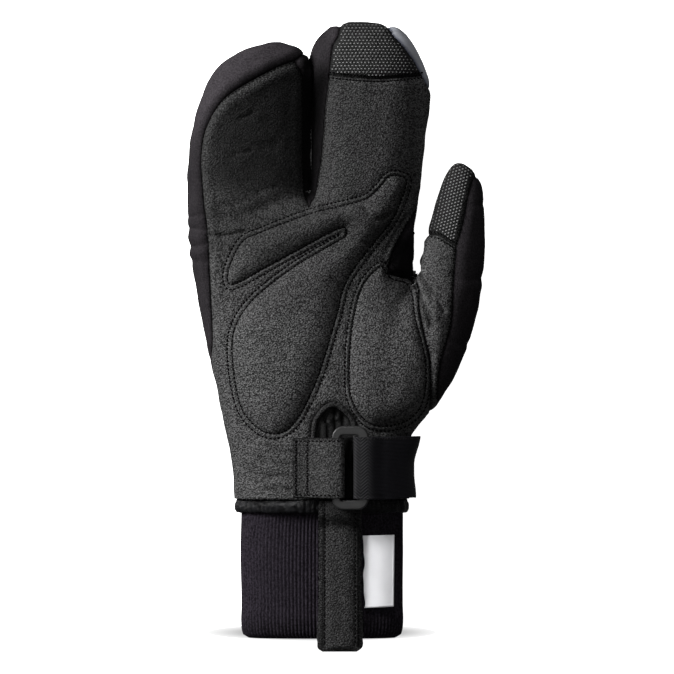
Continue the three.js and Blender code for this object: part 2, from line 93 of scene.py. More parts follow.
class Line:
    """A smooth line seen from above, in millimetres, that distances are measured to."""

    def __init__(self, points: Points, closed: bool = False, smooth: bool = True,
                 spacing: float = 0.9) -> None:
        """Rounds the line through its points.

        Args:
            points: The [x, y] points that the line passes through.
            closed: Whether the last point joins the first.
            smooth: Whether the line bends smoothly at its points.
            spacing: Rough length of the straight steps that make the line.
        """
        self.closed = closed
        base = np.asarray(points, float)
        self.points = self._rounded(base, spacing) if smooth else base

    def _rounded(self, base: np.ndarray, spacing: float) -> np.ndarray:
        """Points of a Catmull-Rom curve through the base points."""
        count = len(base)
        spans = count if self.closed else count - 1

        def at(i: int) -> np.ndarray:
            return base[i % count] if self.closed else base[min(max(i, 0), count - 1)]

        out = []
        for i in range(spans):
            p0, p1, p2, p3 = (at(i + k) for k in (-1, 0, 1, 2))
            steps = max(2, int(np.linalg.norm(p2 - p1) / spacing))
            t = np.arange(steps)[:, None] / steps
            out.append(0.5 * (2 * p1 + (p2 - p0) * t + (2 * p0 - 5 * p1 + 4 * p2 - p3) * t**2
                              + (3 * p1 - p0 - 3 * p2 + p3) * t**3))
        if not self.closed:
            out.append(base[-1:])
        return np.vstack(out)

    def _segments(self) -> tuple[np.ndarray, np.ndarray]:
        """Starts and ends of the line's straight steps."""
        if self.closed:
            return self.points, np.roll(self.points, -1, axis=0)
        return self.points[:-1], self.points[1:]

    def _chart(self) -> None:
        """Fills the grid of distances, positive inside a closed line, that lookups read."""
        self.low = np.maximum(self.points.min(0) - REACH, CHART_LOW)
        high = np.minimum(self.points.max(0) + REACH, CHART_HIGH)
        shape = np.ceil((high - self.low) / CELL).astype(int) + 1
        xs, ys = (self.low[k] + CELL * np.arange(shape[k]) for k in (0, 1))
        grid = np.full(shape, REACH)
        for a, b in zip(*self._segments()):
            first = np.floor((np.minimum(a, b) - REACH - self.low) / CELL).astype(int)
            last = np.ceil((np.maximum(a, b) + REACH - self.low) / CELL).astype(int) + 1
            (i, j), (k, m) = np.clip(first, 0, shape), np.clip(last, 0, shape)
            dx, dy = b - a
            x, y = xs[i:k, None] - a[0], ys[None, j:m] - a[1]
            t = np.clip((x * dx + y * dy) / max(dx * dx + dy * dy, 1e-12), 0, 1)
            part = grid[i:k, j:m]
            np.minimum(part, np.hypot(x - t * dx, y - t * dy), out=part)
        self.gap_grid = grid
        self.signed_grid = np.where(self._inside(xs, ys), grid, -grid)

    def _inside(self, xs: np.ndarray, ys: np.ndarray) -> np.ndarray:
        """Whether each crossing of a grid's lines lies inside the closed line.

        Args:
            xs: The grid's places across.
            ys: The grid's places along.

        Returns:
            One truth value for each crossing.
        """
        start, end = self._segments()
        inside = np.zeros((len(xs), len(ys)), bool)
        if self.closed:
            for j, y in enumerate(ys):
                hit = (start[:, 1] > y) != (end[:, 1] > y)
                a, b = start[hit], end[hit]
                at = np.sort(a[:, 0] + (y - a[:, 1]) * (b[:, 0] - a[:, 0]) / (b[:, 1] - a[:, 1]))
                inside[:, j] = np.searchsorted(at, xs) % 2 == 1
        return inside

    def _read(self, grid: str, xy: np.ndarray, outside: float) -> np.ndarray:
        """Values of a grid between its crossings, or outside beyond it."""
        if not hasattr(self, grid):
            self._chart()
        table = getattr(self, grid)
        place = (xy - self.low) / CELL
        within = ((place >= 0) & (place < np.array(table.shape) - 1)).all(1)
        place = np.where(within[:, None], place, 0)
        i, j = np.floor(place).astype(int).T
        u, v = (place - np.floor(place)).T
        value = ((1 - u) * (1 - v) * table[i, j] + u * (1 - v) * table[i + 1, j]
                 + (1 - u) * v * table[i, j + 1] + u * v * table[i + 1, j + 1])
        return np.where(within, value, outside)

    def distance(self, xy: np.ndarray) -> np.ndarray:
        """Distance from each point to the line, in millimetres, REACH at most."""
        return self._read("gap_grid", xy, REACH)

    def signed(self, xy: np.ndarray) -> np.ndarray:
        """Distance to the closed line, positive inside it and negative outside."""
        return self._read("signed_grid", xy, -REACH)

    def shifted(self, outward: float) -> "Line":
        """The closed line moved outwards, without the loops that tight bends would make."""
        before, after = np.roll(self.points, 1, axis=0), np.roll(self.points, -1, axis=0)
        along = after - before
        along /= np.maximum(np.linalg.norm(along, axis=1), 1e-9)[:, None]
        area = np.sum(self.points[:, 0] * after[:, 1] - after[:, 0] * self.points[:, 1])
        turn = 1.0 if area > 0 else -1.0
        moved = self.points + turn * outward * np.stack([along[:, 1], -along[:, 0]], 1)
        clear = self.distance(moved) > abs(outward) * 0.93
        return Line(moved[clear], self.closed, smooth=False)

    def along(self, pitch: float, start: float = 0.0) -> list[tuple[np.ndarray, np.ndarray]]:
        """Evenly spaced places on the line.

        Args:
            pitch: Distance from one place to the next.
            start: Distance from the line's first point to the first place.

        Returns:
            Each place's point and direction.
        """
        first, last = self._segments()
        lengths = np.linalg.norm(last - first, axis=1)
        total = np.concatenate([[0], np.cumsum(lengths)])
        places = np.arange(start, total[-1], pitch)
        index = np.clip(np.searchsorted(total, places, side="right") - 1, 0, len(lengths) - 1)
        share = (places - total[index]) / np.maximum(lengths[index], 1e-9)
        points = first[index] + share[:, None] * (last - first)[index]
        ways = (last - first)[index] / np.maximum(lengths[index], 1e-9)[:, None]
        return list(zip(points, ways))


def ease(value: np.ndarray | float, low: float, high: float) -> np.ndarray | float:
    """Smooth step from 0 at low to 1 at high."""
    t = np.clip((value - low) / (high - low), 0, 1)
    return t * t * (3 - 2 * t)


def hump(distance: np.ndarray, width: float) -> np.ndarray:
    """Bell curve of a distance, 1 at 0 and fading over width."""
    return np.exp(-((distance / width) ** 2))


def rough(points: np.ndarray, size: float, seed: int = 0) -> np.ndarray:
    """Soft irregular waves between about -1 and 1, the same in each run.

    Args:
        points: Places, one row each, in millimetres.
        size: Rough width of one wave.
        seed: Which set of waves.

    Returns:
        One value for each place.
    """
    generator = np.random.default_rng(1000 + seed)
    total = np.zeros(len(points))
    for octave in range(9):
        way = generator.normal(size=3)
        way /= np.linalg.norm(way)
        wave = size * generator.uniform(0.7, 1.5)
        phase = generator.uniform(0, 2 * math.pi)
        bend = 0.6 * np.sin(points @ np.roll(way, 1) * 2 * math.pi / (wave * 2.3) + octave)
        total += np.sin(points @ way * 2 * math.pi / wave + phase + bend)
    return total / 3.5


# The mitt's layout


def eased_rows(rows: Points, step: float) -> np.ndarray:
    """A table's rows resampled along its first column on smooth curves."""
    table = np.asarray(rows, float)
    y = table[:, 0]
    slope = np.gradient(table, y, axis=0)
    count = max(2, int((y[-1] - y[0]) / step))
    at = np.unique(np.concatenate([np.linspace(y[0], y[-1], count), y]))
    i = np.clip(np.searchsorted(y, at, side="right") - 1, 0, len(y) - 2)
    h = (y[i + 1] - y[i])[:, None]
    t = ((at - y[i])[:, None]) / h
    return ((2 * t**3 - 3 * t**2 + 1) * table[i] + (t**3 - 2 * t**2 + t) * h * slope[i]
            + (3 * t**2 - 2 * t**3) * table[i + 1] + (t**3 - t**2) * h * slope[i + 1])


def edges_of(verts: Sequence[bmesh.types.BMVert]) -> list[bmesh.types.BMEdge]:
    """The edges that meet some vertices, each once and always in the same order."""
    return list(dict.fromkeys(edge for vert in verts for edge in vert.link_edges))


@dataclass(frozen=True)
class Lobe:
    """A form lofted through sections of y, left, right, back, palm and squareness."""

    rows: Points
    aside: Callable[[float], float] = lambda y: 0.0
    sides: int = 72

    def section(self, row: np.ndarray, grow: float = 0.0) -> np.ndarray:
        """Points round one section, anticlockwise from its thumb side.

        Args:
            row: y, left, right, back, palm and squareness.
            grow: Distance by which the section is widened all round.

        Returns:
            One [x, y, z] row for each side.
        """
        y, left, right, back, palm, power = row
        angle = 2 * math.pi * np.arange(self.sides) / self.sides
        c, s = np.cos(angle), np.sin(angle)
        middle = back + MIDDLE * (palm - back)
        half = (right - left) / 2 + grow
        height = np.where(s > 0, palm - middle + grow, middle - back + grow)
        x = (left + right) / 2 + half * np.sign(c) * np.abs(c) ** (2 / power)
        z = middle + height * np.sign(s) * np.abs(s) ** (2 / power)
        return np.stack([x, np.full(self.sides, y), z], 1)

    def build(self, form: bmesh.types.BMesh) -> None:
        """Adds the closed loft to a mesh."""
        rings = []
        for row in eased_rows(self.rows, 2.0):
            made = bmesh.ops.create_circle(form, segments=self.sides, radius=1.0)["verts"]
            for vert, point in zip(made, self.section(row)):
                vert.co = point + np.array([self.aside(point[1]), 0, 0])
            rings.append(edges_of(made))
        for ring, following in zip(rings, rings[1:]):
            bmesh.ops.bridge_loops(form, edges=ring + following)
        for ring in (rings[0], rings[-1]):
            bmesh.ops.contextual_create(form, geom=ring)


def cleft_opening(y: float) -> float:
    """How far each finger lobe is held aside, so that remeshing leaves the cleft open."""
    return 2.6 * float(np.clip((y - CLEFT_LOW) / 12, 0, 1))


def thumb_opening(y: float) -> float:
    """How far the thumb is held aside for the same reason."""
    return 3.2 * float(ease(y, THUMB_LOW, 31))


def thumb_gap(y: float) -> float:
    """Middle of the gap between the finger lobe and the thumb."""
    return float(np.interp(y, [20, 29, 38, 58, 80], [36.8, 37.1, 38.4, 41.4, 47.0]))


HAND = Lobe((
    (-84, *HEM_ROW[1:]), HEM_ROW,
    (-58, -49.2, 34.6, -2.0, 42.0, 2.6), (-46.4, -51.6, 35.4, -2.0, 42.4, 2.6),
    (-42, -52.6, 38.6, -2.0, 43.0, 2.6), (-30, -55.0, 40.2, -2.0, 43.6, 2.6),
    (-14, -58.5, 40.5, -2.0, 43.8, 2.6), (22, -66.0, 37.0, -2.0, 41.6, 2.6),
    (52, -69.8, 37.0, -1.5, 38.8, 2.6), (59, -69.6, 37.2, -1.0, 37.6, 2.6),
    (64, -66.0, 34.0, 3.0, 34.0, 2.4), (66, -56.0, 26.0, 9.0, 28.0, 2.2),
))
OUTER_LOBE = Lobe((
    (30, -64.0, -16.0, 2.0, 36.0, 2.4), (66, -70.2, -13.2, -0.5, 38.6, 2.4),
    (80, -69.9, -13.2, 0.6, 39.4, 2.4), (95, -68.2, -13.1, 3.0, 40.6, 2.4),
    (109, -64.9, -13.0, 6.6, 42.4, 2.4), (119, -60.6, -13.0, 10.0, 43.6, 2.4),
    (127, -55.4, -13.1, 14.0, 43.6, 2.3), (133, -47.5, -14.6, 18.6, 42.0, 2.2),
    (136.6, -39.0, -18.6, 23.0, 38.6, 2.1), (138.8, -31.5, -26.5, 28.0, 33.4, 2.0),
), aside=lambda y: -cleft_opening(y))
INNER_LOBE = Lobe((
    (30, -9.0, 34.0, 2.0, 36.0, 2.4), (66, -12.2, 39.0, -0.5, 38.4, 2.4),
    (95, -12.2, 42.3, 1.4, 38.6, 2.4), (119, -12.2, 44.1, 5.4, 39.2, 2.4),
    (128, -11.8, 41.4, 7.6, 39.0, 2.4), (136, -9.8, 37.5, 10.4, 38.0, 2.4),
    (142, -6.8, 33.6, 13.6, 36.0, 2.3), (146, -2.6, 27.0, 17.4, 32.4, 2.2),
    (147.8, 3.0, 17.6, 21.6, 27.4, 2.0),
), aside=cleft_opening)
THUMB = Lobe((
    (-40, 6.0, 40.6, 4.0, 38.0, 2.2), (-28, 8.0, 50.4, 3.0, 40.6, 2.2),
    (-14, 10.0, 58.2, 3.4, 41.4, 2.2), (2, 16.0, 64.0, 4.6, 41.6, 2.2),
    (27, 36.4, 69.0, 8.8, 41.2, 2.2), (38, 39.8, 70.0, 11.0, 41.2, 2.2),
    (58, 45.4, 69.8, 15.0, 41.0, 2.2), (67, 48.2, 69.2, 17.2, 40.2, 2.2),
    (75, 50.9, 67.0, 20.4, 38.4, 2.2), (79.6, 53.4, 63.2, 23.6, 35.8, 2.1),
    (82.2, 56.0, 59.4, 27.6, 31.8, 2.0),
), aside=thumb_opening)

ULNAR_SEAM = Line([[-FAR, -60], [-61.6, -19], [-59.3, -7.5], [-58.8, 3.3], [-59.7, 24.4],
                   [-60.6, 44.7], [-63.2, 67.7], [-64.0, 84], [-62.5, 95], [-57, 106.5],
                   [-48.9, 114.2], [-31, 124.6], [-19.4, 129.6]])
CLEFT_OUTER = Line([[-12.6, 61.2], [-14.4, 70], [-14.9, 88], [-15.0, 110], [-15.6, 122],
                    [-19.4, 129.6]])
CLEFT_INNER = Line([[-12.6, 61.2], [-10.2, 69], [-7.3, 84.6], [-5.6, 105.8], [-3.6, 122.8]])
INDEX_SEAM = Line([[-3.6, 122.8], [-2.0, 136], [1.0, 143], [3.0, 160]])
GRIP_SEAM = Line([[-3.6, 122.8], [6.6, 121.6], [19, 120.8], [30, 121.6], [41.4, 123.1]])
TIP_SEAM = Line([[41.4, 123.1], [37, 130.4], [31, 137.8], [25, 145.4], [19, 160]])
CROTCH_SEAM = Line([[24.9, 29.6], [27.3, 40.4], [36.6, 57.4], [48, 72]])
THUMB_ROOT = Line([[44.6, -36], [44.9, -25], [44.2, -12], [41.6, -0.5], [38.4, 15], [36.4, 27.6]])
THUMB_SEAM_LOW = Line([[49.4, -36], [47.8, -26], [49.8, -9.4], [53.8, 4], [54.8, 20],
                       [56.2, 42.3]])
THUMB_SEAM_HIGH = Line([[56.2, 42.3], [59.2, 52], [63.4, 71], [67.4, 76.4], [FAR, 90]])
THUMB_GRIP_SEAM = Line([[36, 47.6], [46, 48.0], [52, 45], [56.2, 42.3]])
PALM_PAD = Line([[34.2, 72.4], [30.4, 76.4], [24.4, 76.0], [18.6, 69.6], [11.8, 64.9],
                 [-11.8, 59], [-34.8, 50.3], [-44.6, 45.4], [-51, 33.2], [-51.4, 25.2],
                 [-46.4, 24], [-27, 34.4], [1.2, 49.6], [3.6, 48.2], [1.4, 46.4],
                 [-19.6, 34], [-39.4, 18.4], [-48.6, 4], [-49.6, -12], [-45.6, -33],
                 [-36.6, -44], [-26.5, -46.2], [-17.6, -39.6], [-7.8, -20], [0.9, 8.2],
                 [5.6, 25], [16.6, 41], [27.9, 55.4]], closed=True)
THUMB_PAD = Line([[26.4, 28.4], [21.2, 34.2], [12, 25], [7.2, 9], [5.2, -12], [6.6, -30],
                  [16, -41.8], [31.4, -41.4], [41.2, -32], [43.2, -13], [38.4, 8],
                  [35.2, 24.6]], closed=True)
NOTCH = Line([[9.0, -96], [9.0, -76], [9.0, -46], [6.2, -36.6], [-1.6, -31.6], [-8.4, -37],
              [-10.6, -46], [-10.6, -76], [-10.6, -96]], closed=True)


def joined(*lines: Line, extra: Points = ()) -> Line:
    """A closed outline from open lines, end to end, and further corner points."""
    parts = [line.points for line in lines]
    if len(extra):
        parts.append(np.asarray(extra, float))
    return Line(np.vstack(parts), closed=True, smooth=False)


def turned(line: Line) -> Line:
    """The line with its points in the opposite order."""
    return Line(line.points[::-1], line.closed, smooth=False)


class Panel(Enum):
    """The pieces that the mitt's skin is cut into."""

    BACK = "back_panel"
    PALM = "palm_panel"
    INDEX_GRIP = "index_grip"
    REFLECTIVE = "reflective_tip"
    CLEFT = "cleft_gusset"
    CROTCH = "crotch_gusset"
    THUMB_LEATHER = "thumb_panel"
    THUMB_GRIP = "thumb_grip"
    THUMB_BACK = "thumb_back"
    PALM_PAD = "palm_pad"
    THUMB_PAD = "thumb_pad"
    NOTCH = "wrist_gusset"


@dataclass(frozen=True)
class Cut:
    """A panel's outline from above and the height above which the panel lies."""

    panel: Panel
    outline: Line
    floor: float
    source: Panel

    def field(self, rest: np.ndarray) -> np.ndarray:
        """Positive inside the panel and negative outside, in millimetres."""
        return np.minimum(self.outline.signed(rest[:, :2]), rest[:, 2] - self.floor)


THUMB_WHOLE = joined(THUMB_ROOT, extra=[[39.0, 33], [47.6, 72], [47.6, 100], [FAR, 100],
                                        [FAR, -36]])
CUTS = (
    Cut(Panel.THUMB_BACK, THUMB_WHOLE, -20, Panel.BACK),
    Cut(Panel.THUMB_LEATHER, joined(THUMB_ROOT, THUMB_GRIP_SEAM, turned(THUMB_SEAM_LOW)), 22,
        Panel.THUMB_BACK),
    Cut(Panel.THUMB_GRIP, joined(THUMB_GRIP_SEAM, THUMB_SEAM_HIGH,
                                 extra=[[FAR, 110], [46, 110], [36, 66]]), 22,
        Panel.THUMB_BACK),
    Cut(Panel.CLEFT, joined(turned(CLEFT_OUTER), CLEFT_INNER, INDEX_SEAM,
                            extra=[[-4, 160], [-11.4, 136]]), 9, Panel.BACK),
    Cut(Panel.INDEX_GRIP, joined(GRIP_SEAM, TIP_SEAM, turned(INDEX_SEAM)), PALM_FLOOR,
        Panel.BACK),
    Cut(Panel.REFLECTIVE, joined(TIP_SEAM, extra=[[FAR, 160], [FAR, 114], [45.6, 114]]), 9,
        Panel.BACK),
    Cut(Panel.CROTCH, joined(turned(CROTCH_SEAM), extra=[[36.4, 27.6], [39.5, 34], [48, 72]]),
        17, Panel.BACK),
    Cut(Panel.PALM, joined(THUMB_ROOT, CROTCH_SEAM, Line([[FAR, 84], [FAR, 114], [45.6, 114]],
                                                          smooth=False),
                           turned(GRIP_SEAM), turned(CLEFT_INNER), CLEFT_OUTER,
                           turned(ULNAR_SEAM), extra=[[-FAR, -96], [40, -96], [40, -48]]),
        PALM_FLOOR, Panel.BACK),
    Cut(Panel.NOTCH, NOTCH, PALM_FLOOR, Panel.PALM),
    Cut(Panel.PALM_PAD, PALM_PAD.shifted(-STITCH_GAP), PALM_FLOOR, Panel.PALM),
    Cut(Panel.THUMB_PAD, THUMB_PAD.shifted(-STITCH_GAP), PALM_FLOOR, Panel.PALM),
)
OUTLINES = {cut.panel: cut.outline for cut in CUTS}


# The skin


def sorted_by_cell(points: np.ndarray) -> dict[tuple[int, ...], list[int]]:
    """The numbers of some points, by the cube that each lies in, half of SEAM_REACH wide."""
    cells: dict[tuple[int, ...], list[int]] = {}
    for i, cell in enumerate(np.floor(points / (SEAM_REACH / 2)).astype(int)):
        cells.setdefault(tuple(cell), []).append(i)
    return cells


@dataclass(frozen=True)
class Crease:
    """A fold pressed into the skin along a line, in millimetres."""

    line: Line
    depth: float
    width: float

    def relief(self, rest: np.ndarray) -> np.ndarray:
        """Height that the fold takes away from, or with a negative depth adds to, the skin."""
        return -self.depth * hump(self.line.distance(rest[:, :2]), self.width)


CREASES = tuple(Crease(Line(points), depth, width) for depth, width, points in (
    (0.9, 3.0, [[-58.5, 54.2], [-45, 56.2], [-33, 61.6], [-26, 64.6]]),
    (0.9, 0.9, [[-59.4, 47.4], [-51, 47.6], [-42.6, 49.4]]),
    (0.5, 1.6, [[-56.0, 60.6], [-46, 62.4], [-36, 67.6], [-28, 70.6]]),
    (0.4, 2.6, [[-54.0, 92.0], [-40, 88.6], [-28, 90.4]]),
    (-0.35, 1.8, [[-59.0, 50.4], [-50, 51.0], [-40, 53.6]]),
    (0.7, 0.8, [[-44.5, 102.4], [-41.0, 103.4], [-38.6, 105.4]]),
    (0.6, 0.9, [[-47.4, 86.0], [-43.6, 85.9], [-40.0, 87.4]]),
    (0.4, 0.9, [[-20.6, 77.6], [-18.0, 72.8], [-16.6, 70]]),
    (0.8, 0.9, [[13.0, 62.6], [15.4, 57.0], [20.0, 55.0], [24.4, 57.4]]),
    (-0.5, 1.6, [[17.0, 60.6], [20.6, 58.4]]),
    (0.7, 0.9, [[5.0, 49.0], [10.8, 44.4], [16.6, 42.6]]),
    (0.4, 1.0, [[-6.2, 59.4], [0.0, 54.6], [1.8, 52.6]]),
    (1.2, 1.2, [[37.2, 35.0], [40.3, 27.1], [45.7, 20.0], [50.4, 12.0]]),
    (1.2, 1.2, [[36.6, 26.6], [39.4, 18.2], [42.4, 12.0], [44.6, 5.0]]),
    (-0.8, 1.6, [[38.6, 26.0], [42.6, 17.2], [46.6, 9.0]]),
    (-0.7, 0.8, [[35.6, 57.6], [32.4, 51.8], [28.6, 45.6], [25.8, 40.8], [24.2, 36.4]]),
    (0.6, 0.8, [[33.4, 57.2], [30.0, 52.0], [26.4, 46.2], [23.6, 41.0]]),
    (0.7, 0.9, [[22.6, 28.6], [28.0, 30.6], [33.0, 28.2]]),
    (0.6, 1.2, [[42.6, 28.6], [46.4, 22.6], [50.0, 18.4]]),
    (0.6, 1.0, [[-74, 51.4], [-66, 51.0], [-61.6, 50.2]]),
    (0.6, 1.1, [[-74, 43.2], [-66, 42.7], [-61.4, 43.4]]),
    (0.5, 1.1, [[-74, 35.4], [-66, 35.8], [-61.0, 35.0]]),
    (0.4, 1.2, [[-74, 57.0], [-68, 56.6], [-63, 57.4]]),
    (-0.5, 1.6, [[-74, 47.2], [-66, 46.8], [-62, 47.0]]),
    (-0.5, 1.6, [[-74, 39.2], [-66, 39.2], [-62, 39.4]]),
    (0.5, 1.5, [[57.0, 66.6], [63.0, 62.0], [69.0, 62.4]]),
    (0.6, 1.8, [[55.0, 29.4], [61.0, 26.8], [69.0, 27.6]]),
    (0.5, 1.6, [[53.6, -0.6], [58.0, -3.4], [64.0, -3.0]]),
    (0.3, 1.4, [[12.0, -37.4], [24.0, -39.4], [35.4, -37.0]]),
    (0.5, 1.1, [[-31.6, -50.6], [-26, -53.4], [-20.6, -54.0]]),
    (0.4, 1.2, [[-35.4, -57.6], [-28, -59.6], [-20.6, -59.2]]),
    (0.5, 1.1, [[-31.0, -66.0], [-26, -64.8], [-20.6, -65.6]]),
    (0.3, 1.6, [[-44.0, -60.0], [-38, -63.4], [-30, -64.2]]),
    (0.4, 1.1, [[-34.0, -71.6], [-28, -70.4], [-21, -71.4]]),
))


@dataclass
class Skin:
    """The mitt's whole outer skin, which the panels are cut from."""

    voxel: float = 1.8
    smoothing: int = 4
    mesh: bmesh.types.BMesh = field(default_factory=bmesh.new)

    def build(self) -> None:
        """Lofts, joins, refines, labels and shapes the skin."""
        for lobe in (HAND, OUTER_LOBE, INNER_LOBE, THUMB):
            lobe.build(self.mesh)
        bmesh.ops.recalc_face_normals(self.mesh, faces=self.mesh.faces)
        self._remesh()
        for _ in range(self.smoothing):
            bmesh.ops.smooth_vert(self.mesh, verts=self.mesh.verts, factor=0.5,
                                  use_axis_x=True, use_axis_y=True, use_axis_z=True)
        self._close_gaps()
        self._even_palm()
        everything = [*self.mesh.verts, *self.mesh.edges, *self.mesh.faces]
        bmesh.ops.bisect_plane(self.mesh, geom=everything, plane_co=(0, HEM_Y, 0),
                               plane_no=(0, 1, 0), clear_inner=True)
        self._triangulate()
        self.rest_layer = self.mesh.verts.layers.float_vector.new("rest")
        for vert in self.mesh.verts:
            vert[self.rest_layer] = vert.co
        LOG.info("skin: %d faces", len(self.mesh.faces))
        self._refine(self._near_any, 1.5)
        self._refine(self._near_detail, 0.75)
        self._label()
        self._shape()
        LOG.info("skin: %d faces, refined and labelled", len(self.mesh.faces))

    def _remesh(self) -> None:
        """Joins the overlapping lofts into one even skin."""
        data = bpy.data.meshes.new("form")
        self.mesh.to_mesh(data)
        form = bpy.data.objects.new("form", data)
        bpy.context.scene.collection.objects.link(form)
        modifier = form.modifiers.new("join", "REMESH")
        modifier.mode = "VOXEL"
        modifier.voxel_size = self.voxel
        graph = bpy.context.evaluated_depsgraph_get()
        self.mesh.clear()
        self.mesh.from_mesh(form.evaluated_get(graph).data)
        bpy.data.objects.remove(form)
        bpy.data.meshes.remove(data)

    def _triangulate(self) -> None:
        """Cuts every face that has more than three corners into triangles."""
        crowded = [face for face in self.mesh.faces if len(face.verts) > 3]
        bmesh.ops.triangulate(self.mesh, faces=crowded)

    def _close_gaps(self) -> None:
        """Brings the lobes and the thumb back together after the remesh held them apart."""
        for vert in self.mesh.verts:
            x, y = vert.co.x, vert.co.y
            web, held = thumb_gap(y), thumb_opening(y)
            if y > THUMB_LOW and x > web + 0.5 * held + 0.5 * cleft_opening(y):
                vert.co.x = web + max(x - web - held, 0.3 * (x - web))
            elif y > CLEFT_LOW:
                gap = abs(x - CLEFT_X)
                tight = ease(y, 62, 80) * (1.2 + 2.2 * (1 - ease(y, 124, 134)))
                tight *= 1 - ease(gap, 4.5, 12)
                crossed = -1.4 * ease(y, 72, 80) * (1 - ease(y, 124, 132))
                near = max(gap - cleft_opening(y) - tight, crossed + 0.06 * gap)
                vert.co.x = CLEFT_X + (near if x > CLEFT_X else -near)
            vert.co.z = max(vert.co.z, RESTING)

    def _even_palm(self) -> None:
        """Smooths away the hollow where the thumb's loft meets the hand's."""
        palm = [vert for vert in self.mesh.verts
                if vert.co.z > 31 and -46 < vert.co.x < 39 - 0.3 * max(vert.co.y, 0)
                and -66 < vert.co.y < 52]
        for _ in range(60):
            bmesh.ops.smooth_vert(self.mesh, verts=palm, factor=0.5, use_axis_z=True)

    def rest(self) -> np.ndarray:
        """Where each vertex lay before the relief was added, one row each."""
        return np.array([vert[self.rest_layer] for vert in self.mesh.verts])

    @staticmethod
    def _near_detail(rest: np.ndarray) -> np.ndarray:
        """Whether each place is close to the pads' double stitching or to a sharp fold."""
        xy = rest[:, :2]
        near = np.minimum(PALM_PAD.distance(xy), THUMB_PAD.distance(xy)) < 2.4
        for crease in CREASES:
            if crease.width < 1.3:
                near |= crease.line.distance(xy) < 2 * crease.width
        return near & (rest[:, 2] > PALM_FLOOR)

    @classmethod
    def _near_any(cls, rest: np.ndarray) -> np.ndarray:
        """Whether each place is close to a seam, a fold or a row of stitches."""
        near = cls._near_detail(rest)
        for cut in CUTS:
            near |= np.abs(cut.field(rest)) < 2.2
        for crease in CREASES:
            near |= crease.line.distance(rest[:, :2]) < 2.2 * crease.width
        return near

    def _refine(self, wanted: Callable[[np.ndarray], np.ndarray], longest: float) -> None:
        """Splits the long edges at the wanted places in two.

        Args:
            wanted: Says for each place whether it is refined.
            longest: Edges up to this length are left alone, in millimetres.
        """
        near = wanted(self.rest())
        self.mesh.verts.index_update()
        edges = [edge for edge in self.mesh.edges
                 if near[edge.verts[0].index] and near[edge.verts[1].index]
                 and edge.calc_length() > longest]
        bmesh.ops.subdivide_edges(self.mesh, edges=edges, cuts=1, use_grid_fill=True)
        self._triangulate()

    def _label(self) -> None:
        """Cuts the skin along the panels' outlines and notes each face's panel."""
        order = list(Panel)
        layer = self.label_layer = self.mesh.faces.layers.int.new("panel")
        for cut in CUTS:
            self.mesh.verts.index_update()
            level = cut.field(self.rest())
            level[np.abs(level) < 0.06] = 0.0
            values = level.tolist()
            source, made = order.index(cut.source), order.index(cut.panel)
            crossing = [edge for edge in self.mesh.edges
                        if values[edge.verts[0].index] * values[edge.verts[1].index] < 0
                        and any(face[layer] == source for face in edge.link_faces)]
            touched = {}
            for edge in crossing:
                first, second = (values[vert.index] for vert in edge.verts)
                _, vert = bmesh.utils.edge_split(edge, edge.verts[0], first / (first - second))
                vert.index = len(values)
                values.append(0.0)
                touched.update(dict.fromkeys(vert.link_faces))
            for face in touched:
                on_line = [i for i, vert in enumerate(face.verts) if values[vert.index] == 0.0]
                corners = len(face.verts)
                if face[layer] == source and len(on_line) == 2 \
                        and (on_line[1] - on_line[0]) % corners not in (1, corners - 1):
                    bmesh.utils.face_split(face, *(face.verts[i] for i in on_line))
            for face in self.mesh.faces:
                if face[layer] == source and sum(values[v.index] for v in face.verts) > 0:
                    face[layer] = made
            self._triangulate()

    def _seam_distance(self, rest: np.ndarray) -> np.ndarray:
        """Distance from each vertex to the nearest seam between two panels.

        Args:
            rest: The vertices' places before the relief.

        Returns:
            One distance for each vertex, SEAM_REACH at most.
        """
        order = list(Panel)
        pads = {order.index(Panel.PALM_PAD), order.index(Panel.THUMB_PAD)}
        seams = []
        for edge in self.mesh.edges:
            labels = {face[self.label_layer] for face in edge.link_faces}
            if len(labels) == 2 and not labels & pads:
                seams.append(edge)
        spots = np.array([[*v[self.rest_layer]] for e in seams for v in e.verts])
        seam_cells, cells = sorted_by_cell(spots), sorted_by_cell(rest)
        out = np.full(len(rest), SEAM_REACH)
        for cell, inside in cells.items():
            near = [i for step in itertools.product((-1, 0, 1), repeat=3)
                    for i in seam_cells.get(tuple(np.add(cell, step)), [])]
            if near:
                gaps = np.linalg.norm(rest[inside][:, None] - spots[near][None], axis=2)
                out[inside] = np.minimum(out[inside], gaps.min(1))
        return out

    @staticmethod
    def _height(rest: np.ndarray, seam: np.ndarray) -> np.ndarray:
        """How far each vertex moves along its normal: pads, seams, folds and unevenness."""
        height = pad_relief(rest) + seam_relief(seam) * (1 - 0.4 * ease(rest[:, 0], 40, 46))
        height += gusset_relief(rest)
        for crease in CREASES:
            height += crease.relief(rest) * ease(rest[:, 2], 8, 18)
        height += 0.20 * rough(rest, 17.0, 1) + 0.09 * rough(rest, 7.0, 2)
        return np.where(height > 0, height * ease(rest[:, 2], 0.5, 5), height)

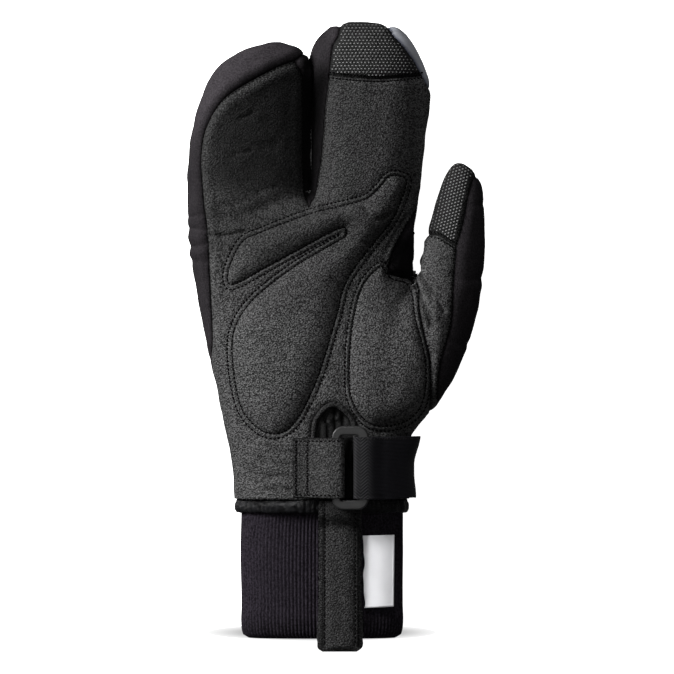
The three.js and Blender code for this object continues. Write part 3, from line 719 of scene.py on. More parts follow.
    @staticmethod
    def _shade(rest: np.ndarray, seam: np.ndarray) -> np.ndarray:
        """How dark each vertex is painted: seams and stitches, and painted shade in recesses and
        along pressed-in folds.
        """
        stitch = np.minimum(PALM_PAD.distance(rest[:, :2]), THUMB_PAD.distance(rest[:, :2]))
        stitch = np.where(rest[:, 2] > PALM_FLOOR, np.abs(stitch - STITCH_GAP), SEAM_REACH)
        shade = np.maximum(hump(seam, 0.9), 0.1 * hump(stitch, 0.6))
        # Painted shade in the recesses and on the dimmer parts, from recess_shade.
        shade = np.maximum(shade, recess_shade(rest))
        # Painted shade along each pressed-in fold.
        for crease in CREASES:
            if crease.depth > 0:
                mark = min(0.15 + 0.55 * crease.depth, 0.85)
                mark = mark * hump(crease.line.distance(rest[:, :2]), 0.8 * crease.width)
                shade = np.maximum(shade, mark * ease(rest[:, 2], 8, 18))
        return shade

    def _shape(self) -> None:
        """Moves each vertex along its normal and down, and notes how dark it is painted, painted
        shade included.
        """
        self.mesh.normal_update()
        self.mesh.verts.index_update()
        rest = self.rest()
        normals = np.array([vert.normal for vert in self.mesh.verts])
        seam = self._seam_distance(rest)
        # The 'seam' layer holds dark seams and stitches, and painted shade in recesses and folds.
        layer = self.mesh.verts.layers.float.new("seam")
        for vert, lift, normal, fall, dark in zip(self.mesh.verts, self._height(rest, seam),
                                                  normals, lobe_relief(rest),
                                                  self._shade(rest, seam)):
            vert.co += Vector(normal * lift) + Vector((0, 0, fall))
            vert.co.z = max(vert.co.z, RESTING)
            vert[layer] = dark
        self.mesh.normal_update()

    def panel(self, panel: Panel) -> bmesh.types.BMesh:
        """A copy of the skin that keeps one panel's faces."""
        index = list(Panel).index(panel)
        part = self.mesh.copy()
        layer = part.faces.layers.int["panel"]
        others = [face for face in part.faces if face[layer] != index]
        bmesh.ops.delete(part, geom=others, context="FACES")
        return part


def pad_relief(rest: np.ndarray) -> np.ndarray:
    """Height of the sewn pads, their crowned tops and the double stitching round them."""
    height = np.zeros(len(rest))
    above = ease(rest[:, 2], 17, 22)
    for pad, crown in ((PALM_PAD, 5.0), (THUMB_PAD, 5.2)):
        signed = pad.signed(rest[:, :2])
        gap = np.abs(signed)
        inner = np.maximum(signed - STITCH_GAP, 0)
        dome = 0.9 * (1 - np.exp(-inner / 2.4)) + crown * (1 - np.exp(-inner / 13.0))
        valley = -0.5 * hump(signed, 2.8)
        rows = -0.26 * hump(gap - STITCH_GAP, 0.45)
        ridge = 0.42 * hump(signed, 0.55)
        height += above * (dome + valley + rows + ridge)
    return height


def seam_relief(seam: np.ndarray) -> np.ndarray:
    """Height beside a seam: drawn in at the stitches and full a little further off."""
    return -0.7 * hump(seam, 0.8) - 0.55 * hump(seam, 3.0) + 0.35 * hump(seam - 4.2, 2.6)


def lobe_relief(rest: np.ndarray) -> np.ndarray:
    """Broad form of the hand: crowned lobes, the outer one sloping down to the cleft."""
    x, y, z = rest.T
    top = ease(z, 20, 32)
    rim = ULNAR_SEAM.distance(rest[:, :2])
    outer = ease(y, 44, 72) * ease(-x, 8, 14)
    slope = -7.0 * ease(x, -62, -14) * outer
    slack = -1.2 * np.exp(-(((x + 38) / 15) ** 2 + ((y - 84) / 24) ** 2))
    puffed = np.where((y > 14) & (x < -12), 0.9 * hump(rim - 3.4, 2.4), 0)
    inner = ease(y, 44, 66) * ease(x, -14, -6) * (1 - ease(x, 44, 48))
    crown = -2.8 * np.minimum(((x - 13) / 27) ** 2, 1.2) * inner
    heel = -3.0 * ease(x, -40, 44) * (1 - ease(y, 40, 62)) * (1 - ease(x, 44, 47))
    sunk = -6.0 * hump(x + 9.0, 4.6) * ease(y, 60, 74) * (1 - ease(y, 108, 126))
    return top * (slope + slack + puffed + crown + heel) + sunk * ease(z, 12, 26)


def gusset_folds(rest: np.ndarray) -> np.ndarray:
    """Crests and hollows of the wrist gusset's upright folds, from -1 to 1."""
    x, y, _ = rest.T
    return 0.67 * np.sin(x * 1.55 + 0.6 * np.sin(y * 0.31)) + 0.33 * np.sin(x * 3.1 + y * 0.12)


def recess_shade(rest: np.ndarray) -> np.ndarray:
    """How much shade each place is painted with, from 0 to 1.

    Painted shade darkens the cleft, the thumb's crotch, the notch's folds and the cord's sides,
    the slot's shadow and the slack outer lobe. Lighter painted shade makes the little finger's
    side, the upper palm, the inner lobe and the thumb darker than the heel.

    Args:
        rest: The vertices' places before the relief.

    Returns:
        One value for each vertex.
    """
    x, y, z = rest.T
    flat = rest[:, :2]
    border = x - np.interp(y, *CLEFT_INNER.points[:, ::-1].T)
    # Painted shade in the cleft.
    cleft = ease(x, -14.8, -13.6) * (1 - ease(border, -2.0, 4.0))
    cleft = cleft * ease(y, 56, 66) * (1 - 0.5 * ease(y, 120, 134))
    crotch, palm = (OUTLINES[panel].signed(flat) for panel in (Panel.CROTCH, Panel.PALM))
    rim = ULNAR_SEAM.distance(flat)
    # Painted shade on the slack outer lobe, a little lighter at its rim.
    slack = 0.9 * (0.72 + 0.28 * ease(rim, 0.5, 9.0)) * ease(y, 46, 78)
    slack = slack * (palm > 0) * (x < -12.6)
    # Painted shade in the thumb's crotch.
    corner = ease(crotch, -1.2, 0.8) * (0.93 - 0.6 * ease(y, 42, 53))
    # Painted shade that dims the upper palm, the inner lobe and the thumb.
    dim = 0.3 * ease(y, 6, 20) + (0.3 - 0.22 * ease(x, 8, 30)) * ease(y, 28, 48)
    dim = dim * (1 - 0.6 * (1 - ease(x, -60, -46)) * (1 - ease(y, 30, 44)))
    dim = np.where(palm > 0, dim * (1 - ease(x, 36, 40)), 0)
    dim = np.maximum(dim, 0.38 * ease(x, 40, 48)) * ease(z, 16, 22)
    notch = NOTCH.signed(flat)
    # Painted shade in the hollows of the gusset's folds.
    folded = ease(notch, 0.2, 1.4) * np.clip(0.5 - 0.75 * gusset_folds(rest), 0, 0.97)
    # Painted shadow under the ring's slot.
    under_slot = 0.95 * ease(x, -3, 0) * (1 - ease(x, 12, 14)) * (1 - ease(y, -47.5, -45.5))
    # Painted shade on both sides of the cord.
    beside_cord = 0.97 * hump(np.abs(notch) - 1.4, 0.55)
    # Painted shade on the little finger's side.
    side = 0.4 * ease(-x, 57, 62) * (1 - ease(y, 84, 104)) * (palm < 0)
    # Painted shade on the cleft's hidden wall, at every height.
    hidden = np.minimum(1.6 * hump(x + 12.9, 2.8), 1) * ease(y, 62, 68) * (1 - ease(y, 128, 140))
    seen = np.maximum.reduce([0.97 * cleft, corner, dim, folded, under_slot, beside_cord, slack,
                              side])
    return np.maximum(seen * ease(z, 12, 18), hidden)


def gusset_relief(rest: np.ndarray) -> np.ndarray:
    """The cloth gusset at the wrist, sunk below the leather and gathered in upright folds."""
    inner = NOTCH.signed(rest[:, :2])
    depth = 1.9 * ease(inner, 0.2, 2.4) - 1.5 * gusset_folds(rest) * ease(inner, 0.6, 3.0)
    return -depth * ease(rest[:, 2], 18, 24)


# Materials


class Signal:
    """An output of a material's node, on which Python's operators add Math nodes."""

    def __init__(self, graph: "Graph", socket: bpy.types.NodeSocket) -> None:
        """Keeps the socket and the graph that it belongs to."""
        self.graph, self.socket = graph, socket

    def _math(self, operation: str, *values: "Signal | float") -> "Signal":
        """Adds one Math node."""
        return self.graph.node("ShaderNodeMath", {"operation": operation},
                               dict(enumerate(values)))

    def __add__(self, other: "Signal | float") -> "Signal":
        """Sum of two values."""
        return self._math("ADD", self, other)

    def __sub__(self, other: "Signal | float") -> "Signal":
        """Difference of two values."""
        return self._math("SUBTRACT", self, other)

    def __rsub__(self, other: float) -> "Signal":
        """A number less this value."""
        return self._math("SUBTRACT", other, self)

    def __mul__(self, other: "Signal | float") -> "Signal":
        """Product of two values."""
        return self._math("MULTIPLY", self, other)

    __radd__ = __add__
    __rmul__ = __mul__

    def wave(self) -> "Signal":
        """Sine of the value."""
        return self._math("SINE", self)

    def zigzag(self, width: float) -> "Signal":
        """Runs up and down between 0 and the width."""
        return self._math("PINGPONG", self, width)

    def eased(self, low: float, high: float) -> "Signal":
        """Smooth step from 0 at low to 1 at high."""
        return self.graph.node("ShaderNodeMapRange", {"interpolation_type": "SMOOTHSTEP"},
                               {"Value": self, "From Min": low, "From Max": high})


Value = Signal | float | tuple


class Graph:
    """The nodes of one material, which end in its Principled shader."""

    def __init__(self, name: str) -> None:
        """Starts a material with a bare shader."""
        self.material = bpy.data.materials.new(name)
        self.material.use_nodes = True
        self.tree = self.material.node_tree
        self.shader = self.tree.nodes["Principled BSDF"]

    def node(self, kind: str, settings: dict, sockets: dict, output: int = 0) -> Signal:
        """Adds any node.

        Args:
            kind: The node's type.
            settings: Properties of the node, set first.
            sockets: Values or links, by the name or number of their socket.
            output: Number of the output that is returned.

        Returns:
            The node's output.
        """
        made = self.tree.nodes.new(kind)
        for key, value in settings.items():
            setattr(made, key, value)
        for key, value in sockets.items():
            self.feed(made.inputs[key], value)
        return Signal(self, made.outputs[output])

    def feed(self, socket: bpy.types.NodeSocket, value: Value) -> None:
        """Links a signal to a socket or sets its value."""
        if isinstance(value, Signal):
            self.tree.links.new(value.socket, socket)
        else:
            socket.default_value = value

    def place(self) -> Signal:
        """Object coordinates in millimetres."""
        metres = self.node("ShaderNodeTexCoord", {}, {}, output=3)
        return self.node("ShaderNodeVectorMath", {"operation": "SCALE"},
                         {0: metres, "Scale": 1 / MM})

    def flat_place(self) -> Signal:
        """The piece's own UV map, which is in millimetres."""
        return self.node("ShaderNodeTexCoord", {}, {}, output=2)

    def bent(self, place: Signal, amount: float, scale: float) -> Signal:
        """Coordinates that wander a little, so that a pattern isn't ruled."""
        drift = self.node("ShaderNodeTexNoise", {}, {"Vector": place, "Scale": scale}, output=1)
        centred = self.node("ShaderNodeVectorMath", {"operation": "SUBTRACT"},
                            {0: drift, 1: (0.5, 0.5, 0.5)})
        small = self.node("ShaderNodeVectorMath", {"operation": "SCALE"},
                          {0: centred, "Scale": amount})
        return self.node("ShaderNodeVectorMath", {"operation": "ADD"}, {0: place, 1: small})

    def stretched(self, place: Signal, by: tuple[float, float, float]) -> Signal:
        """Coordinates multiplied along each axis."""
        return self.node("ShaderNodeVectorMath", {"operation": "MULTIPLY"}, {0: place, 1: by})

    def axes(self, place: Signal) -> list[Signal]:
        """The three parts of a coordinate."""
        parts = self.node("ShaderNodeSeparateXYZ", {}, {0: place})
        return [Signal(self, output) for output in parts.socket.node.outputs]

    def noise(self, place: Signal, scale: float, detail: float = 2.0) -> Signal:
        """Soft noise between 0 and 1."""
        return self.node("ShaderNodeTexNoise", {}, {"Vector": place, "Scale": scale,
                                                    "Detail": detail})

    def cells(self, place: Signal, scale: float, feature: str = "DISTANCE_TO_EDGE") -> Signal:
        """Distance within irregular cells."""
        return self.node("ShaderNodeTexVoronoi", {"feature": feature},
                         {"Vector": place, "Scale": scale})

    def attribute(self, name: str) -> Signal:
        """A value that the piece's vertices carry."""
        return self.node("ShaderNodeAttribute", {"attribute_name": name}, {}, output=2)

    def blend(self, share: Value, first: Value, second: Value) -> Signal:
        """Mixes two colours."""
        return self.node("ShaderNodeMix", {"data_type": "RGBA"},
                         {0: share, 6: first, 7: second}, output=2)

    def finish(self, colour: Value, roughness: Value, height: Value | None = None,
               depth: float = 0.1, **constants: float) -> bpy.types.Material:
        """Feeds the shader.

        Args:
            colour: Base colour.
            roughness: Roughness.
            height: Relief between 0 and 1, if there is any.
            depth: Millimetres that the relief's height stands for.
            constants: Further sockets of the shader, the same all over.

        Returns:
            The material.
        """
        self.feed(self.shader.inputs["Base Color"], colour)
        self.feed(self.shader.inputs["Roughness"], roughness)
        if height is not None:
            bump = self.node("ShaderNodeBump", {}, {"Height": height, "Distance": depth * MM,
                                                    "Strength": 1.0})
            self.feed(self.shader.inputs["Normal"], bump)
        for name, value in constants.items():
            self.shader.inputs[name.replace("_", " ")].default_value = value
        return self.material


def grey(level: float, tint: tuple[float, float, float] = (1, 1, 1)) -> tuple[float, ...]:
    """A grey of the given level, with its red, green and blue multiplied by the tint."""
    return tuple(level * part for part in tint) + (1.0,)


@dataclass(frozen=True)
class Leather:
    """Pebbled synthetic leather: small cells, a satin gloss, darker at seams, with painted shade
    in folds and recesses.
    """

    name: str = "pebbled_leather"
    base: float = 0.0025
    crown: float = 0.060
    pebble: float = 1.0
    roughness: float = 0.54

    def make(self) -> bpy.types.Material:
        """Builds the material."""
        graph = Graph(self.name)
        place = graph.place()
        bent = graph.bent(graph.stretched(place, (0.85, 1.0, 0.5)), 0.5, 0.6)
        pebbles = graph.cells(bent, self.pebble).eased(0.02, 0.26)
        fine = graph.noise(bent, 1.3, 1.0).eased(0.38, 0.62)
        patch = graph.noise(place, 0.05, 2.0)
        seam = graph.attribute("seam")
        shade = (pebbles * 0.4 + fine * 0.6) * (0.9 + patch * 0.2)
        colour = graph.blend(shade, grey(self.base), grey(self.crown))
        # Dark seams and stitches, and painted shade, from the 'seam' attribute.
        colour = graph.blend(seam * 0.92, colour, grey(self.base * 0.3))
        rough_value = self.roughness + (1 - pebbles) * 0.15 + seam * 0.2
        height = pebbles * 0.7 + fine * 0.6 + graph.noise(place, 0.45, 2.0) * 0.8
        return graph.finish(colour, rough_value, height, 0.36, Specular_IOR_Level=0.09)


@dataclass(frozen=True)
class Softshell:
    """Tightly woven stretch cloth with a brushed black face, faintly purple unless plum is 0."""

    name: str = "softshell_cloth"
    level: float = 0.0155
    plum: float = 0.10
    thread: float = 0.42

    def make(self) -> bpy.types.Material:
        """Builds the material."""
        graph = Graph(self.name)
        place = graph.place()
        x, y, z = graph.axes(graph.bent(place, 0.35, 0.5))
        turn = 2 * math.pi / self.thread
        weave = ((x * turn).wave() * ((y + z) * turn).wave()) * 0.5 + 0.5
        fuzz = graph.noise(place, 1.5, 4.0).eased(0.32, 0.68)
        patch = graph.noise(place, 0.09, 2.0)
        seam = graph.attribute("seam")
        shade = weave * 0.25 + fuzz * 0.55 + patch * 0.2
        tint = (1, 1 - self.plum, 1)
        colour = graph.blend(shade, grey(self.level * 0.35, tint), grey(self.level * 1.8, tint))
        # Dark seams and painted shade, from the 'seam' attribute.
        colour = graph.blend(seam * 0.95, colour, grey(self.level * 0.05))
        return graph.finish(colour, 0.82 - fuzz * 0.1, weave * 0.5 + fuzz * 0.7, 0.14,
                            Specular_IOR_Level=0.01)


@dataclass(frozen=True)
class Knit:
    """Rib-knitted cloth: small loops in columns along each rib, with painted shade in the grooves
    between ribs, strongest near the mouth.
    """

    name: str = "rib_knit"
    level: float = 0.0098
    loop: float = 0.62

    def make(self) -> bpy.types.Material:
        """Builds the material."""
        graph = Graph(self.name)
        u, v, _ = graph.axes(graph.flat_place())
        slant = (u * (2 * math.pi / RIB)).wave() * 0.22
        loops = ((v + slant) * (2 * math.pi / self.loop)).wave() * 0.5 + 0.5
        place = graph.place()
        fuzz = graph.noise(place, 1.2, 4.0).eased(0.33, 0.67)
        patch = graph.noise(place, 0.12, 2.0)
        groove = graph.attribute("groove")
        shade = loops * 0.15 + fuzz * 0.75 + patch * 0.1
        colour = graph.blend(shade, grey(self.level, (0.25, 0.21, 0.29)),
                             grey(self.level, (1.9, 1.6, 2.1)))
        # Painted shade in the grooves between ribs, strongest near the mouth.
        depth = 0.22 + 0.7 * (1 - v.eased(5.0, 13.0))
        colour = graph.blend(groove * depth, colour, grey(self.level * 0.16))
        return graph.finish(colour, 0.86, loops * 0.6 + fuzz * 0.6, 0.12,
                            Specular_IOR_Level=0.01)


@dataclass(frozen=True)
class Satin:
    """Smooth black binding cloth, faintly blue, with a soft gloss."""

    name: str = "satin_binding"
    level: float = 0.0030

    def make(self) -> bpy.types.Material:
        """Builds the material."""
        graph = Graph(self.name)
        place = graph.place()
        x, y, z = graph.axes(place)
        thread = ((x + y * 0.4 + z) * (2 * math.pi / 0.5)).wave() * 0.5 + 0.5
        patch = graph.noise(place, 0.35, 2.0)
        colour = graph.blend(thread * 0.3 + patch.eased(0.35, 0.65) * 0.7,
                             grey(self.level * 0.3, (1, 0.94, 1)),
                             grey(self.level * 1.9, (0.94, 0.96, 1.06)))
        height = thread * 0.1 + graph.noise(place, 0.42, 2.0)
        return graph.finish(colour, 0.42 - thread * 0.05, height, 0.9,
                            Specular_IOR_Level=0.08)


@dataclass(frozen=True)
class Elastic:
    """Woven elastic: fine ribs along the band, a herringbone where its end is sewn down."""

    name: str = "woven_elastic"
    level: float = 0.008
    rib: float = 0.62
    sewn: float = 22.5

    def make(self) -> bpy.types.Material:
        """Builds the material."""
        graph = Graph(self.name)
        u, v, _ = graph.axes(graph.flat_place())
        lines = (v * (2 * math.pi / self.rib)).wave() * 0.5 + 0.5
        slant = u.zigzag(3.4) * 0.9
        sewn = ((v + slant) * (2 * math.pi / 1.5)).wave() * 0.5 + 0.5
        start = 1 - u.eased(self.sewn - 3.5, self.sewn + 3.0)
        ribs = lines * (1 - start) + sewn * start
        place = graph.place()
        fuzz = graph.noise(place, 2.2, 3.0)
        colour = graph.blend(ribs * 0.7 + fuzz * 0.3, grey(self.level, (0.35, 0.34, 0.42)),
                             grey(self.level, (1.5, 1.45, 1.75)))
        bright = graph.blend(ribs, grey(self.level * 0.05), grey(self.level * 1.7))
        colour = graph.blend(start * 0.6, colour, bright)
        return graph.finish(colour, 0.62 - ribs * 0.1, ribs + fuzz * 0.4, 0.16,
                            Specular_IOR_Level=0.04)


@dataclass(frozen=True)
class Plain:
    """A quiet finish of one colour with fine unevenness: plastic, thread, rubber or lining."""

    name: str
    level: float
    roughness: float
    grain: float = 1.6
    depth: float = 0.03
    specular: float = 0.5
    sheen: float = 0.0

    def make(self) -> bpy.types.Material:
        """Builds the material."""
        graph = Graph(self.name)
        place = graph.place()
        grain = graph.noise(place, self.grain, 3.0)
        patch = graph.noise(place, 0.2, 2.0)
        colour = graph.blend(grain * 0.5 + patch * 0.5, grey(self.level * 0.78),
                             grey(self.level * 1.22))
        return graph.finish(colour, self.roughness + patch * 0.12 - 0.06, grain, self.depth,
                            Specular_IOR_Level=self.specular, Sheen_Weight=self.sheen)


@dataclass(frozen=True)
class Reflective:
    """Grey reflective film on cloth, scattered with fine glass beads."""

    name: str = "reflective_film"
    level: float = 0.16

    def make(self) -> bpy.types.Material:
        """Builds the material."""
        graph = Graph(self.name)
        place = graph.place()
        beads = graph.cells(place, 3.4, "F1")
        seam = graph.attribute("seam")
        colour = graph.blend(beads, grey(self.level, (1.1, 1.14, 1.25)),
                             grey(self.level, (0.8, 0.83, 0.92)))
        # Dark seams and painted shade, from the 'seam' attribute.
        colour = graph.blend(seam, colour, grey(self.level, (0.1, 0.13, 0.26)))
        return graph.finish(colour, 0.44, beads, 0.05, Specular_IOR_Level=0.6)


@dataclass(frozen=True)
class LabelCloth:
    """White woven label cloth, blank."""

    name: str = "label_cloth"
    level: float = 0.78
    thread: float = 0.34

    def make(self) -> bpy.types.Material:
        """Builds the material."""
        graph = Graph(self.name)
        u, v, _ = graph.axes(graph.flat_place())
        turn = 2 * math.pi / self.thread
        weave = (u * turn).wave() * (v * turn).wave() * 0.5 + 0.5
        place = graph.place()
        patch = graph.noise(place, 0.25, 2.0)
        colour = graph.blend(weave * 0.4 + patch * 0.6, grey(self.level, (0.93, 0.93, 0.96)),
                             grey(self.level, (1.04, 1.04, 1.06)))
        return graph.finish(colour, 0.7, weave, 0.07, Specular_IOR_Level=0.3)


FINISHES = {
    "leather": Leather(),
    "grip_leather": Leather("grip_leather", base=0.003, crown=0.008, roughness=0.52),
    "strap_leather": Leather("strap_leather", base=0.003, crown=0.038),
    "loop_leather": Leather("loop_leather", base=0.0025, crown=0.026),
    "softshell": Softshell(),
    "lining": Plain("lining_fleece", 0.012, 0.9, grain=0.9, depth=0.3, specular=0.2,
                    sheen=0.2),
    "gusset": Softshell("gusset_cloth", level=0.015, plum=0.0),
    "reflective": Reflective(),
    "knit": Knit(),
    "satin": Satin(),
    "cord": Leather("cord_leather", base=0.002, crown=0.020, pebble=1.2),
    "elastic": Elastic(),
    "plastic": Plain("moulded_plastic", 0.009, 0.38, grain=2.4, depth=0.02, specular=0.2),
    "thread": Plain("black_thread", 0.0014, 0.8, grain=3.0, specular=0.0),
    "grey_thread": Plain("grey_thread", 0.022, 0.8, grain=3.0, specular=0.0),
    "silicone": Plain("printed_silicone", 0.085, 0.5, grain=1.0, specular=0.12),
    "label": LabelCloth(),
}


# Pieces


class Workshop:
    """Makes finished objects out of shapes and remembers the materials."""

    def __init__(self) -> None:
        """Builds every finish once."""
        self.materials = {key: finish.make() for key, finish in FINISHES.items()}

    def piece(self, form: bmesh.types.BMesh, name: str, finishes: Sequence[str], slot: str,
              nodes: Sequence[str] = ()) -> bpy.types.Object:
        """Turns a shape in the layout's millimetres into a piece of the mitt.

        Args:
            form: The shape, which is used up.
            name: Name of the piece.
            finishes: Keys of the finishes, in the order of the faces' numbers.
            slot: The record's material slot. Not used.
            nodes: CAD nodes that the piece stands for.

        Returns:
            The finished object, riding on the mitt's one body.
        """
        bmesh.ops.translate(form, verts=form.verts, vec=-ORIGIN)
        bmesh.ops.scale(form, verts=form.verts, vec=(MM, MM, MM))
        data = bpy.data.meshes.new(name)
        form.to_mesh(data)
        form.free()
        data.shade_smooth()
        for finish in finishes:
            data.materials.append(self.materials[finish])
        made = bpy.data.objects.new(name, data)
        bpy.context.scene.collection.objects.link(made)
        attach(made, "root")
        if nodes:
            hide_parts(*nodes)
        LOG.info("%s: %d faces", name, len(data.polygons))
        return made


def thicken(made: bpy.types.Object, thickness: float, offset: float, lined: bool = False,
            even: bool = False) -> None:
    """Gives a piece its wall with a Solidify modifier.

    Args:
        made: The piece.
        thickness: Wall in millimetres.
        offset: -1 puts the wall inside the surface, 0 on both sides of it.
        lined: Whether the inner side takes the second material.
        even: Whether sharp bends keep the full thickness.
    """
    wall = made.modifiers.new("wall", "SOLIDIFY")
    wall.thickness = thickness * MM
    wall.offset = offset
    wall.use_even_offset = even
    if lined:
        wall.material_offset = 1


def soften(made: bpy.types.Object, width: float, segments: int = 2) -> None:
    """Rounds a piece's sharp edges with a Bevel modifier."""
    edge = made.modifiers.new("edge", "BEVEL")
    edge.width = width * MM
    edge.segments = segments
    edge.limit_method = "ANGLE"
    edge.angle_limit = math.radians(50)
    edge.profile = 0.5


def thicken_trim(made: bpy.types.Object) -> None:
    """Gives a strip of trim its thickness and its rounded edges."""
    thicken(made, TRIM_WALL, 0.0, even=True)
    soften(made, 0.3, 3)


def fabric(u_steps: int, v_steps: int, place: Place,
           size: tuple[float, float] = (1.0, 1.0)) -> bmesh.types.BMesh:
    """A grid bent to shape, with its edges merged wherever they meet.

    Args:
        u_steps: Faces along u.
        v_steps: Faces along v.
        place: Gives rows of x, y and z for u and v from 0 to 1.
        size: Millimetres that the UV map runs to along u and v.

    Returns:
        The shape, with faces outwards where it is closed.
    """
    form = bmesh.new()
    bmesh.ops.create_grid(form, x_segments=u_steps, y_segments=v_steps, size=0.5)
    form.verts.index_update()
    flat = np.clip(np.array([vert.co[:2] for vert in form.verts]) + 0.5, 0, 1)
    layer = form.loops.layers.uv.new("UVMap")
    for face in form.faces:
        for loop in face.loops:
            loop[layer].uv = flat[loop.vert.index] * size
    for vert, point in zip(form.verts, place(*flat.T)):
        vert.co = point
    bmesh.ops.remove_doubles(form, verts=form.verts, dist=1e-4)
    bmesh.ops.recalc_face_normals(form, faces=form.faces)
    return form


def darken(form: bmesh.types.BMesh, shade: Callable[[float, float], float]) -> None:
    """Marks the edges of a shape, and any painted shade on it, which its finish shows darker.

    Args:
        form: The shape, with its UV map in millimetres.
        shade: Gives the darkness, from 0 to 1, for a place on the UV map.
    """
    seam = form.verts.layers.float.new("seam")
    layer = form.loops.layers.uv["UVMap"]
    for face in form.faces:
        for loop in face.loops:
            loop.vert[seam] = min(float(shade(*loop[layer].uv)), 1.0)


def length_of(points: np.ndarray) -> float:
    """Length of an open path."""
    return float(np.linalg.norm(np.diff(points, axis=0), axis=1).sum())


def spaced(points: np.ndarray, at: np.ndarray) -> np.ndarray:
    """Points at shares of an open path's length.

    Args:
        points: The path, one row each.
        at: Shares from 0 to 1.

    Returns:
        One row for each share.
    """
    steps = np.linalg.norm(np.diff(points, axis=0), axis=1)
    total = np.concatenate([[0], np.cumsum(steps)])
    return np.stack([np.interp(at * total[-1], total, column) for column in points.T], 1)


class Ground:
    """A surface that stitches, dots and trims are laid on from above."""

    def __init__(self, form: bmesh.types.BMesh, proud: float = 0.0) -> None:
        """Prepares the search.

        Args:
            form: The surface, in the layout's millimetres.
            proud: Height of the finished surface above it.
        """
        form.faces.ensure_lookup_table()
        self.tree = BVHTree.FromBMesh(form)
        self.proud = proud

    def at(self, x: float, y: float) -> tuple[Vector, Vector, int] | None:
        """Point, normal and face below a place, or None beside the surface."""
        point, normal, index, _ = self.tree.ray_cast(Vector((x, y, SKY)), Vector((0, 0, -1)))
        if point is None:
            return None
        if normal.z < 0:
            normal = -normal
        return point + normal * self.proud, normal, index


@dataclass
class Sewing:
    """Stitches of one thread, each a small capsule lying on the surface."""

    length: float = 1.5
    width: float = 0.9
    sides: int = 6
    form: bmesh.types.BMesh = field(default_factory=bmesh.new)

    def __post_init__(self) -> None:
        """Shapes the one stitch that is copied."""
        bead = bmesh.new()
        bmesh.ops.create_uvsphere(bead, u_segments=self.sides, v_segments=5, radius=0.5)
        bmesh.ops.rotate(bead, verts=bead.verts, cent=(0, 0, 0),
                         matrix=Matrix.Rotation(math.pi / 2, 3, "Y"))
        self.data = bpy.data.meshes.new("stitch")
        bead.to_mesh(self.data)
        bead.free()

    def add(self, point: Vector, normal: Vector, way: Vector, size: Sequence[float]) -> None:
        """Copies the bead to one place.

        Args:
            point: Middle of the copy.
            normal: Upward direction there.
            way: Direction of the copy's length.
            size: Length, width and height.
        """
        along = (way - normal * way.dot(normal)).normalized()
        across = normal.cross(along)
        turn = Matrix((along, across, normal)).transposed().to_4x4()
        count = len(self.form.verts)
        self.form.from_mesh(self.data)
        self.form.verts.ensure_lookup_table()
        fresh = self.form.verts[count:]
        bmesh.ops.transform(self.form, verts=fresh, matrix=Matrix.Translation(point) @ turn
                            @ Matrix.Diagonal((*size, 1.0)))

    def row(self, ground: Ground, line: Line, pitch: float = 1.95, sink: float = 0.02,
            floor: float = 10.0) -> None:
        """Sews along a line seen from above.

        Args:
            ground: What is sewn.
            line: Where.
            pitch: Distance from stitch to stitch.
            sink: Depth of the stitches' middles below the surface.
            floor: Height below which nothing is sewn.
        """
        for (x, y), way in line.along(pitch, pitch / 2):
            found = ground.at(x, y)
            if found and found[0].z > floor:
                point, normal, _ = found
                self.add(point - normal * sink, normal, Vector((*way, 0)),
                         (self.length, self.width, self.width))


def between(line: Line, low: float, high: float) -> Line:
    """The part of an open line between two places along the mitt."""
    keep = (line.points[:, 1] >= low) & (line.points[:, 1] <= high)
    return Line(line.points[keep], smooth=False)


def beside(line: Line, distance: float) -> Line:
    """An open line moved to its left."""
    ways = np.gradient(line.points, axis=0)
    ways /= np.maximum(np.linalg.norm(ways, axis=1), 1e-9)[:, None]
    return Line(line.points + distance * np.stack([-ways[:, 1], ways[:, 0]], 1), smooth=False)


